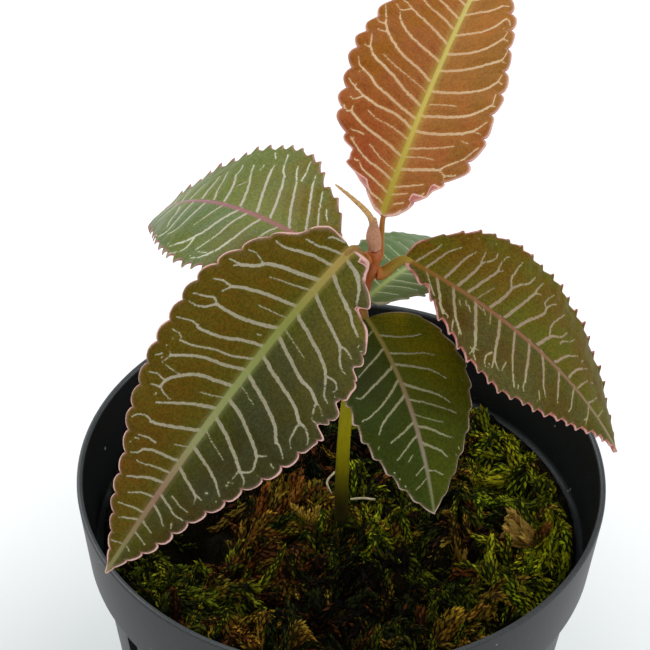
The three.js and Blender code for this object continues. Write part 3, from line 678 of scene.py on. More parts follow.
def grow_tuft(bed, tuft):
    """Branches round a tuft: combed one way in most tufts, spread like a rosette in the others."""
    x, y, height, kind, brightness = tuft
    facing, combed = moss_random.uniform(0, 2 * math.pi), moss_random.random() < COMBED_SHARE
    grown = 0
    for _ in range(BRANCHES_PER_TUFT):
        spread = np.array((moss_random.gauss(0, 1.5), moss_random.gauss(0, 1.5)))
        foot = spread + (x, y)
        at_wall = np.linalg.norm(foot) > MOSS_RADIUS - CLEAR_OF_WALL
        if at_wall or np.linalg.norm(foot - STEM_HOLE[:2]) < CLEAR_OF_STEM:
            continue
        heading = facing + moss_random.gauss(0, 0.4)
        if not combed or moss_random.random() < 0.25:
            heading = math.atan2(spread[1], spread[0]) + moss_random.gauss(0, 0.4)
        big = moss_random.random() < BIG_SHARE
        length = moss_random.uniform(*((5, 8) if big else (3, 5)))
        thickness = moss_random.uniform(*((0.9, 1.4) if big else (0.5, 0.85)))
        rise = moss_random.uniform(*((0.3, 0.8) if moss_random.random() < RISING_SHARE else (-0.05, 0.22)))
        course = course_on_moss(foot, heading, length, rise, thickness * 0.3, moss_random.gauss(0, 0.18))
        here = kind if moss_random.random() < PURE_SHARE else moss_random.choice(list(MOSS_COLOURS))
        # Low tufts are painted darker, as painted shade in the hollows between tufts
        bright = brightness * moss_random.uniform(0.65, 1.2) * (0.5 + 0.24 * height)
        grow_branch(bed, course, thickness, shades(here, bright), moss_random.uniform(0.2, 0.42))
        grown += 1
    return grown


beds = [([], [], []), ([], [], [])]
branch_count = sum(grow_tuft(beds[number % 2], tuft) for number, tuft in enumerate(tufts))
print("branches in tufts:", branch_count)

# %% [markdown]
# Some heads stand out in the photograph: brown and gold plumes beside the hollow, a long pointed branch
# and a spiky bright tuft on the right, a curled one at the front. Each is a fan of five branches, laid
# where it was seen.

# %% Heads in their own places
# A head is (x, y, heading in degrees, length, thickness, rise, kind, brightness), in mm
HEADS = [
    (-14.8, -8.2, 62, 8.0, 1.2, 0.20, "brown", 1.4), (-13.6, -3.6, 60, 7.0, 1.2, 0.35, "gold", 0.8),
    (-12.6, 0.6, 66, 7.0, 1.2, 0.40, "brown", 1.5), (-10.6, 3.4, 70, 6.0, 1.1, 0.40, "gold", 0.9),
    (-15.2, -5.8, 80, 2.8, 1.1, 0.90, "fresh", 1.2), (-6.4, 5.0, 85, 6.0, 1.3, 0.60, "brown", 1.9),
    (-3.6, 4.2, 78, 6.0, 1.2, 0.50, "gold", 1.0), (-21.5, -14.5, 15, 6.5, 1.3, 0.15, "green", 1.6),
    (-18.6, -12.0, -10, 6.0, 1.1, 0.15, "gold", 0.8), (-15.6, -17.6, -52, 8.0, 1.7, 0.10, "gold", 1.0),
    (-26.0, -10.6, -55, 6.0, 0.9, 0.20, "fresh", 0.9), (-24.5, -16.0, -30, 6.0, 1.1, 0.15, "green", 1.4),
    (-27.5, -6.0, -60, 5.5, 1.0, 0.20, "fresh", 0.8), (-7.5, -9.6, -70, 5.0, 1.1, 0.30, "gold", 0.8),
    (-2.0, -5.0, 200, 6.0, 1.1, 0.20, "brown", 1.3), (18.8, 8.7, -55, 8.5, 1.2, 0.15, "fresh", 1.1),
    (14.0, 12.0, -50, 7.0, 1.2, 0.20, "gold", 0.9), (4.2, -2.6, 52, 8.0, 1.4, 0.25, "fresh", 1.0),
    (6.8, -3.4, 50, 7.0, 1.3, 0.20, "gold", 0.9), (26.0, -7.0, -15, 6.5, 0.8, 0.25, "fresh", 1.3),
    (25.4, -9.4, -34, 6.5, 0.8, 0.20, "fresh", 1.2), (24.5, -12.5, -44, 6.5, 0.9, 0.15, "fresh", 1.1),
    (29.0, -3.4, -44, 5.0, 0.9, 0.30, "fresh", 1.2), (18.6, -12.8, -12, 5.5, 1.4, 0.25, "gold", 1.1),
    (16.5, -11.2, -30, 5.5, 1.1, 0.20, "green", 1.4), (13.5, -21.5, 50, 5.5, 1.5, 0.35, "gold", 0.9),
    (15.6, -19.6, -20, 4.5, 1.2, 0.20, "gold", 1.2), (19.5, -22.4, 20, 5.5, 1.1, 0.20, "fresh", 0.9),
    (24.6, -17.4, -10, 5.5, 1.1, 0.15, "fresh", 1.1), (27.8, -13.4, -50, 4.5, 1.0, 0.20, "fresh", 1.2),
    (30.4, -1.6, 40, 3.6, 1.1, 0.90, "fresh", 1.1), (-0.8, -3.6, 5, 6.0, 1.2, 0.15, "gold", 0.95),
]
# A branch of a head is (turn from the heading in radians, share of the head's size)
FAN = ((0, 1), (-0.3, 0.85), (0.3, 0.85), (-0.75, 0.6), (0.75, 0.6))


def grow_head(bed, head):
    x, y, heading, length, thickness, rise, kind, brightness = head
    for turn, share in FAN:
        angle = math.radians(heading) + turn + moss_random.gauss(0, 0.08)
        foot = np.array((x - math.sin(angle) * turn * thickness, y + math.cos(angle) * turn * thickness))
        course = course_on_moss(foot, angle, length * share, rise, thickness * 0.45 * share, 0.25 * turn)
        bright = brightness * moss_random.uniform(0.85, 1.15)
        grow_branch(bed, course, thickness * share, shades(kind, bright), moss_random.uniform(0.18, 0.3), 1.1)


for number, head in enumerate(HEADS):
    grow_head(beds[number % 2], head)
print("heads laid:", len(HEADS))

# %% [markdown]
# The last few pieces are singular: a golden fan beside the stem, a dried curled head near the right wall,
# three orange fronds, and some straw.

# %% Fan, dried head, fronds and straw
TAN, ORANGE, GOLD = ("#4a380c", "#cca650"), ("#5a3410", "#b4782a"), ("#80661e", "#f0c858")


def lay_branch(points, thickness, pair, openness=0.3, leaf_size=1.2):
    course = smooth_course(points, 8)
    course[:, 2] += moss_height(course[:, 0], course[:, 1])
    grow_branch(beds[0], course, thickness, [plain_colour(colour) for colour in pair], openness, leaf_size)


for turn in (-0.75, -0.45, -0.15, 0.15, 0.45, 0.75):
    middle = (-4.9 + 1.3 * math.sin(turn), 0.4, 2.4)
    tip = (-5.0 + 2.9 * math.sin(turn), 0.6, 1.4 + 4.4 * math.cos(turn))
    lay_branch([(-4.8, 0.6, 0.2), middle, tip], 0.75, GOLD, 0.28, 1.1)
for turn in (-0.6, -0.1, 0.4):
    middle, tip = (26.6 + 0.4 * turn, -1.4 + turn, 2.2), (24.0 + 0.6 * turn, 0.4 + 1.2 * turn, 1.7)
    lay_branch([(28.4, -2.4, 0.5), middle, tip], 1.25, TAN, 0.14, 1.9)
lay_branch([(29.0, -2.2, 0.6), (29.6, -1.2, 1.8), (29.8, 0.0, 2.2)], 0.9, ORANGE)
lay_branch([(-12.6, -20.0, 0.6), (-12.9, -22.0, 1.4), (-11.6, -24.4, 0.6)], 0.95, ORANGE)
lay_branch([(-7.5, 3.5, 0.4), (-6.4, 5.8, 2.2), (-5.8, 8.5, 2.8)], 0.9, ORANGE, 0.35)
STRAW_STEPS, STRAW_RADIUS = 14, 0.17
STRAWS = [[(1.4, 4.6, 1.9), (3.2, 4.7, 2.1), (5.0, 4.7, 1.9)],
          [(-1.4, 6.0, 1.6), (-2.0, 7.4, 2.6), (-0.9, 9.1, 3.0)]]
for points in STRAWS:
    course = smooth_course(points, STRAW_STEPS)
    course[:, 2] += MOSS_LEVEL + 0.6
    straw_points, straw_faces = rod(course, np.full(STRAW_STEPS, STRAW_RADIUS), 8, len(beds[0][0]))
    straw_tints = [plain_colour("#c8bc98")] * len(straw_points)
    for values, more in zip(beds[0], (straw_points, straw_faces, straw_tints)):
        values.extend(more)
print("branches and heads are joined by", len(STRAWS), "straws")

# %% [markdown]
# Living moss leaves are one cell thick and slightly waxy, so they are soft green with a weak sheen. The
# colour of each leaf, painted shade and painted light included, is carried by its points, and a fine
# noise breaks it up.

# %% Leafy moss
shoot_material, tree, surface = new_material("leafy_moss", 0.75, specular=0.08)
tint = add(tree, "Attribute", output="Vector", attribute_name="tint", attribute_type="GEOMETRY")
place = add(tree, "TexCoord", output="Object")
mottle = add(tree, "TexNoise", (place, 1 / (0.9 * MM), 2))
light = add(tree, "MapRange", (mottle, 0.3, 0.7, 0.55, 1.3))
shaded = add(tree, "VectorMath", (tint, light), operation="SCALE")
tree.links.new(shaded, surface.inputs["Base Color"])
for number, (points, faces, tints) in enumerate(beds):
    bed = make_piece(f"moss_branches_{number + 1}", points, faces, [shoot_material], smooth=False)
    set_values(bed, "tint", np.clip(np.array(tints), 0, 1))
    print(bed.name, "has", sum(len(face) - 2 for face in faces), "triangles")

# %% [markdown]
# ## Stem
# The stem is green and fleshy below, and turns orange-brown where the youngest leaves come off. Old leaf
# scars ring it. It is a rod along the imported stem's own course, swollen at its nodes, with enough rings
# that the scars are real relief.

# %% Stem along its course
STEM_COURSE = [(0.6, 0.3, 34), (0.3, 0, 45), (0.15, 0, 57), (0.12, 0, 69), (0.5, 0, 79), (2, 0, 97),
               (2.6, 0, 101.6), (3.5, 0, 105.2), (3.6, 0, 107.6)]
# The stem's radius at three heights, and how far nodes and leaf scars stand out, in mm
STEM_RADII = ((34, 0.5), (47, 1.08), (107.6, 0.72))
NODE_HEIGHTS, NODE_SWELL = (96.6, 104, 107), 0.22
SCAR_HEIGHTS, SCAR_SWELL, SCAR_REACH = (58, 66.5, 76, 85.5), 0.07, 0.35


def stem_radius(z):
    (foot, at_foot), (soil_line, at_soil_line), (top, at_top) = STEM_RADII
    low = at_foot + (at_soil_line - at_foot) * (z - foot) / (soil_line - foot)
    high = at_soil_line + (at_top - at_soil_line) * (z - soil_line) / (top - soil_line)
    radius = np.where(z < soil_line, low, high)
    for height in NODE_HEIGHTS:
        radius = radius + NODE_SWELL * np.exp(-(z - height) ** 2)
    for height in SCAR_HEIGHTS:
        radius = radius + SCAR_SWELL * np.exp(-((z - height) / SCAR_REACH) ** 2)
    return radius


stem_course = smooth_course(STEM_COURSE, 240)
stem_points, stem_faces = rod(stem_course, stem_radius(stem_course[:, 2]), 28)
print("stem is", round(float(np.linalg.norm(np.diff(stem_course, axis=0), axis=1).sum()), 1), "mm long")

# %% [markdown]
# Young bark is smooth and slightly waxy, about 0.45 rough. Its colour goes with height, so the height of
# each point drives two soft changes: dark olive to yellow-green, and yellow-green to orange-brown. The
# yellow-green is painted brighter than the bark itself, as painted light on the stem under the leaves.

# %% Green bark
bark_material, tree, surface = new_material("green_bark", 0.45)
place = add(tree, "TexCoord", output="Object")
height = add(tree, "SeparateXYZ", [place], output="Z")
drawn_out = add(tree, "VectorMath", (place, (1, 1, 0.2)), operation="MULTIPLY")
streaks = add(tree, "TexNoise", (drawn_out, 1 / (0.5 * MM), 3))
# The yellow-green is partly painted light, brighter than the bark so that the shaded stem shows lit
bark = layer(tree, "#302a04", "#c6ba0a", height, (60 * MM, 75 * MM), **SOFT)
bark = layer(tree, bark, "#b05a1c", height, (88 * MM, 98 * MM), **SOFT)
tones = add(tree, "Mix", (streaks, "#5a5a5a", "#ffffff"), **COLOUR)
streaked = add(tree, "Mix", (0.5, bark, tones), blend_type="MULTIPLY", **COLOUR)
cover(tree, surface, streaked, streaks, 0.35, 0.08)
stem = make_piece("stem_with_scars", stem_points, stem_faces, [bark_material], "stem")
print("stem has", len(stem.data.polygons), "faces")

# %% [markdown]
# ## Growing point
# At the top a short sheath holds the next leaf, which is still rolled up like a spear. Both are scurfy:
# covered with tiny rusty scales. The sheath is a swollen rod, the spear is a thin rod, and the scurf is a
# sprinkling of real scales.

# %% Sheath and rolled leaf
SHEATH_ROWS, SPEAR_ROWS = 40, 50
SCALES, SCALES_ON_SHEATH = 420, 0.7
sheath_course = smooth_course([(3.62, 0, 108), (3.4, 0, 110.2), (3.4, 0, 113)], SHEATH_ROWS)
share = np.linspace(0, 1, SHEATH_ROWS)
swelling = np.sin(math.pi * (0.25 + 0.75 * share)) ** 2
sheath_radii = (0.7 + (0.35 - 0.7) * share) * (1 - swelling) + 1.02 * swelling
sheath_points, sheath_faces = rod(sheath_course, sheath_radii, 24)
spear_places = [(3.4, 0, 111.2), (2.8, 0, 113.5), (0.5, 0, 116.4), (-1.8, 0, 118.7)]
spear_course = smooth_course(spear_places, SPEAR_ROWS)
spear_radii = 0.45 + (0.12 - 0.45) * np.linspace(0, 1, SPEAR_ROWS) ** 1.5
spear_points, spear_faces = rod(spear_course, spear_radii, 16, len(sheath_points))
scurf_random = random.Random(11)
scurf_points, scurf_faces = [], []
for _ in range(SCALES):
    on_sheath = scurf_random.random() < SCALES_ON_SHEATH
    course, radii = (sheath_course, sheath_radii) if on_sheath else (spear_course, spear_radii)
    i = scurf_random.randrange(2, len(course) - 3)
    along = course[i + 1] - course[i]
    along /= np.linalg.norm(along)
    side = np.cross(along, (0, 1, 0))
    turn = 2 * math.pi * scurf_random.random()
    out = side * math.cos(turn) + np.cross(along, side) * math.sin(turn)
    across = np.cross(along, out)
    root = course[i] + out * radii[i] * 0.9
    size = scurf_random.uniform(0.1, 0.24)
    k = len(sheath_points) + len(spear_points) + len(scurf_points)
    scurf_points += [root - across * size * 0.4, root + across * size * 0.4, root - along * size * 0.5,
                     root + out * (0.08 + size * 0.3) + along * size]
    scurf_faces += [[k, k + 2, k + 1], [k, k + 1, k + 3], [k + 1, k + 2, k + 3], [k + 2, k, k + 3]]
print("growing point has", len(scurf_faces) // 4, "scales")

# %% [markdown]
# The scurf makes the surface dull and sandy, pinkish tan on the sheath and ochre on the spear.

# %% Scurfy sheath
scurf_material, tree, surface = new_material("scurfy_sheath", 0.75)
place = add(tree, "TexCoord", output="Object")
height = add(tree, "SeparateXYZ", [place], output="Z")
speckle = add(tree, "TexNoise", (place, 1 / (0.3 * MM), 3))
sandy = layer(tree, "#b08062", "#c09a60", height, (111.5 * MM, 114.5 * MM), **SOFT)
sandy = layer(tree, sandy, "#8a4a2a", speckle, (0.45, 0.75), (0, 0.55))
cover(tree, surface, sandy, speckle, 0.6, 0.1)
growing_point = make_piece(
    "sheath_and_rolled_leaf", np.vstack([sheath_points, spear_points, scurf_points]),
    sheath_faces + spear_faces + scurf_faces, [scurf_material], "shoot_tip")
print("growing point has", len(growing_point.data.polygons), "faces")

# %% [markdown]
# ## Leaves
# A leaf starts as a flat pattern in millimetres: how far along the midrib, and how far out. The outline
# is a tapered curve with scallops, and a rule bends the pattern into its pose: the midrib climbs or
# droops, the blade tilts and twists about it, both halves fold up from it and curl down towards the
# margin. No leaf is even, so each half also has a few swellings and notches of its own. These are the
# packed leaves' own rules, sampled about every 0.2 mm here.

# %% Measures of the six leaves
# An unevenness is (half, place along, change of the half width, reach), in mm
LEAVES = {
    "leaf_top_young": dict(
        node=105.4, base=(4.5, 1.7, 112), petiole=0.5, length=41.1, half=13.1, lopsided=0.02,
        base_taper=(0.98, 0.08), tip_taper=(1.06, -0.1), full=0.06, lobe=0.8,
        heading=65.9, sweep=0.7, rise=45.5, droop=(-29.7, -10.6), tilt=-9.8, twist=-7.5,
        fold=(10.8, -1.5), curl=(4, 0), teeth=14, tooth_depth=0.9, lean=0.1, crowd=1.1, ruffle=0.5,
        uneven=((1, 6, 1.3, 0.8), (1, 7.8, -0.9, 0.5), (-1, 8.2, 0.8, 1), (-1, 12.8, 0.5, 1.6),
                (-1, 18, 0.4, 3))),
    "leaf_front_left": dict(
        node=106.8, base=(0.7, -1.6, 109.1), petiole=0.75, length=55, half=13.3, lopsided=-0.01,
        base_taper=(0.72, 0.13), tip_taper=(1.24, 0.1), full=0, lobe=2.4,
        heading=217, sweep=3.5, rise=-31.5, droop=(-27, 11.5), tilt=-20.5, twist=-5,
        fold=(1.5, -2), curl=(12.5, 0), teeth=20, tooth_depth=0.7, lean=0.1, crowd=1.25, ruffle=0.4,
        uneven=((1, 3, -0.9, 0.9), (1, 6.2, -1.9, 0.6), (1, 10.5, 0.5, 1.1), (1, 12.2, -1, 0.6),
                (1, 13.6, 0.7, 1), (1, 17.3, -1, 0.6), (1, 21.2, -1.5, 0.6), (1, 22.7, 0.7, 1),
                (1, 35, -0.4, 2.5), (1, 49, 1.1, 4.5), (-1, 4.4, -0.9, 1.1), (-1, 14, 0.6, 8),
                (-1, 40, -0.5, 4))),
    "leaf_back_left": dict(
        node=104, base=(-2, 3.8, 102.7), petiole=0.7, length=42.6, half=11.8, lopsided=-0.04,
        base_taper=(0.74, -0.15), tip_taper=(1.36, -0.16), full=-0.06, lobe=0.8,
        heading=143.8, sweep=-15.7, rise=13.4, droop=(-67.4, -11.7), tilt=-9, twist=-1.8,
        fold=(5, -2.3), curl=(12, 6), teeth=25, tooth_depth=0.75, lean=2, crowd=1.25, ruffle=0.2,
        uneven=((-1, 8.6, -0.9, 1.6), (-1, 13, 0.4, 2))),
    "leaf_right": dict(
        node=103.6, base=(7.5, 0.3, 105.9), petiole=0.85, length=42.1, half=11.65, lopsided=0.18,
        base_taper=(0.99, -0.28), tip_taper=(1.2, -0.21), full=0.01, lobe=1,
        heading=-16.7, sweep=0.4, rise=-16.1, droop=(-45.4, -4.1), tilt=12.4, twist=-17.3,
        fold=(0.7, 0.9), curl=(14, 0), teeth=22, tooth_depth=0.5, lean=2, crowd=1.1, ruffle=0.25,
        uneven=((1, 11, 0.5, 4), (-1, 5.6, -0.8, 1.2), (-1, 19, 0.5, 5))),
    "leaf_front_small": dict(
        node=97.2, base=(2.7, -2.2, 97.3), petiole=0.6, length=28.7, half=9.5, lopsided=0.05,
        base_taper=(0.51, -0.13), tip_taper=(0.92, 0.04), full=-0.03, lobe=0,
        heading=-55.3, sweep=-15.2, rise=-16.3, droop=(-59.7, 12), tilt=-6, twist=0.5,
        fold=(6.6, -1), curl=(6, 0), teeth=11, tooth_depth=0.4, lean=2, crowd=1.1, ruffle=0.1,
        uneven=()),
    "leaf_back": dict(
        node=96.4, base=(2.7, 2.4, 96.5), petiole=0.55, length=31, half=8.8, lopsided=0,
        base_taper=(0.62, -0.07), tip_taper=(0.65, 0.01), full=0.01, lobe=1.7,
        heading=60, sweep=-6, rise=-6.5, droop=(-28.5, -4), tilt=-3, twist=1,
        fold=(8, -0.5), curl=(5, 0), teeth=16, tooth_depth=0.45, lean=2, crowd=1, ruffle=0.15,
        uneven=()),
}
TIP_HALF_WIDTH = 0.35
# How far the teeth of one half (1 left, -1 right) are drawn out to points near the base, near the tip, and
# upwards, in mm; two halves that are seen edge-on have long sharp points
PLAIN_TEETH = (0.08, 0.08, 0)
SERRATION = {("leaf_right", 1): (0.4, 0.65, 0.6), ("leaf_back_left", -1): (0.08, 0.6, 0.6)}
RUFFLE_TEETH = 3.4
print(len(LEAVES), "leaves, the longest", max(leaf["length"] for leaf in LEAVES.values()), "mm")


# %% Pose of the midrib
MIDRIB_STEPS = 24


def leaf_axes(leaf, u):
    """Unit vectors along the midrib, to the left half and out of the upper face, at share u of its length."""
    rise = np.radians(leaf["rise"] + leaf["droop"][0] * u + leaf["droop"][1] * u * u)
    heading = np.radians(leaf["heading"] + leaf["sweep"] * u)
    along = np.stack([np.cos(rise) * np.cos(heading), np.cos(rise) * np.sin(heading), np.sin(rise)], -1)
    over = np.stack([-np.sin(rise) * np.cos(heading), -np.sin(rise) * np.sin(heading), np.cos(rise)], -1)
    left = np.cross(over, along)
    turn = np.radians(leaf["tilt"] + leaf["twist"] * u)[..., None]
    return along, left * np.cos(turn) + over * np.sin(turn), over * np.cos(turn) - left * np.sin(turn)


def midrib_point(leaf, u):
    u = np.asarray(u, dtype=float)
    point = np.zeros(u.shape + (3,)) + leaf["base"]
    for i in range(MIDRIB_STEPS):
        along = leaf_axes(leaf, u * (i + 0.5) / MIDRIB_STEPS)[0]
        point += along * (leaf["length"] * u / MIDRIB_STEPS)[..., None]
    return point


print("tip of the largest leaf:", np.round(midrib_point(LEAVES["leaf_front_left"], 1), 1))

# %% Outline of a blade and its teeth
def half_width(leaf, side, u):
    rising = leaf["base_taper"][0] * (1 + side * leaf["base_taper"][1])
    falling = leaf["tip_taper"][0] * (1 + side * leaf["tip_taper"][1])
    widest = rising / (rising + falling)
    taper = (u / widest) ** rising * ((1 - u) / (1 - widest)) ** falling
    shoulders = 1 + leaf["full"] * np.sin(3 * math.pi * u)
    width = leaf["half"] * (1 + side * leaf["lopsided"]) * taper * shoulders
    for half, place, change, reach in leaf["uneven"]:
        if half == side:
            width = width + change * np.exp(-((u * leaf["length"] - place) / reach) ** 2)
    blunt = TIP_HALF_WIDTH * np.sqrt(np.clip((1 - u) / 0.012, 0.02, 1))
    return np.maximum(width, blunt)


def share_at_count(leaf, count):
    return 1 - (1 - count / leaf["teeth"]) ** leaf["crowd"]


def count_at_share(leaf, u):
    return leaf["teeth"] * (1 - (1 - u) ** (1 / leaf["crowd"]))


def tooth_shape(leaf, t):
    return np.sin(math.pi * np.clip(t, 0, 1) ** (1 + leaf["lean"])) ** 0.6


def tooth_point(t):
    """The sharp point of a tooth, near its end towards the tip of the leaf."""
    return np.exp(-((t - 0.84) / 0.14) ** 2)


def margin_fade(u):
    return np.minimum(1, np.minimum(6 * u, 8 * (1 - u)))


width = half_width(LEAVES["leaf_front_left"], 1, np.array(0.5))
print("half width of the largest leaf at its middle:", round(float(width), 1), "mm")

# %% Bend the flat pattern into its pose
def blade_surface(leaf, side, u, out, lift):
    """Points of the blade: out is the distance from the midrib in mm, lift the height over the blade."""
    along, left, over = leaf_axes(leaf, u)
    width = half_width(leaf, side, u)
    k = out / width
    count = count_at_share(leaf, u)
    fold = np.radians(leaf["fold"][0] + side * leaf["fold"][1])
    curl = np.radians(leaf["curl"][0] + side * leaf["curl"][1])
    across = (np.sin(fold) - np.sin(fold - curl * k)) / curl
    raised = (np.cos(fold - curl * k) - np.cos(fold)) / curl
    wave = np.sin(2 * math.pi * count / RUFFLE_TEETH + side) - 0.5 * np.cos(2 * math.pi * count)
    ruffle = margin_fade(u) * leaf["ruffle"] * (1 - 0.5 * u) * np.minimum(k, 1.1) ** 4 * wave
    set_back = leaf["lobe"] * k * k * (1 - u) ** 10 * np.minimum(1, u / 0.03)
    out_from_midrib = left * (side * width * across)[..., None]
    up_from_midrib = over * (width * raised + ruffle + lift)[..., None]
    return midrib_point(leaf, u) + out_from_midrib + up_from_midrib - along * set_back[..., None]


middle_of_largest = blade_surface(LEAVES["leaf_front_left"], 1, np.array([0.4]), np.array([5.0]), 0)
print("a point of the largest blade:", np.round(middle_of_largest[0], 1))
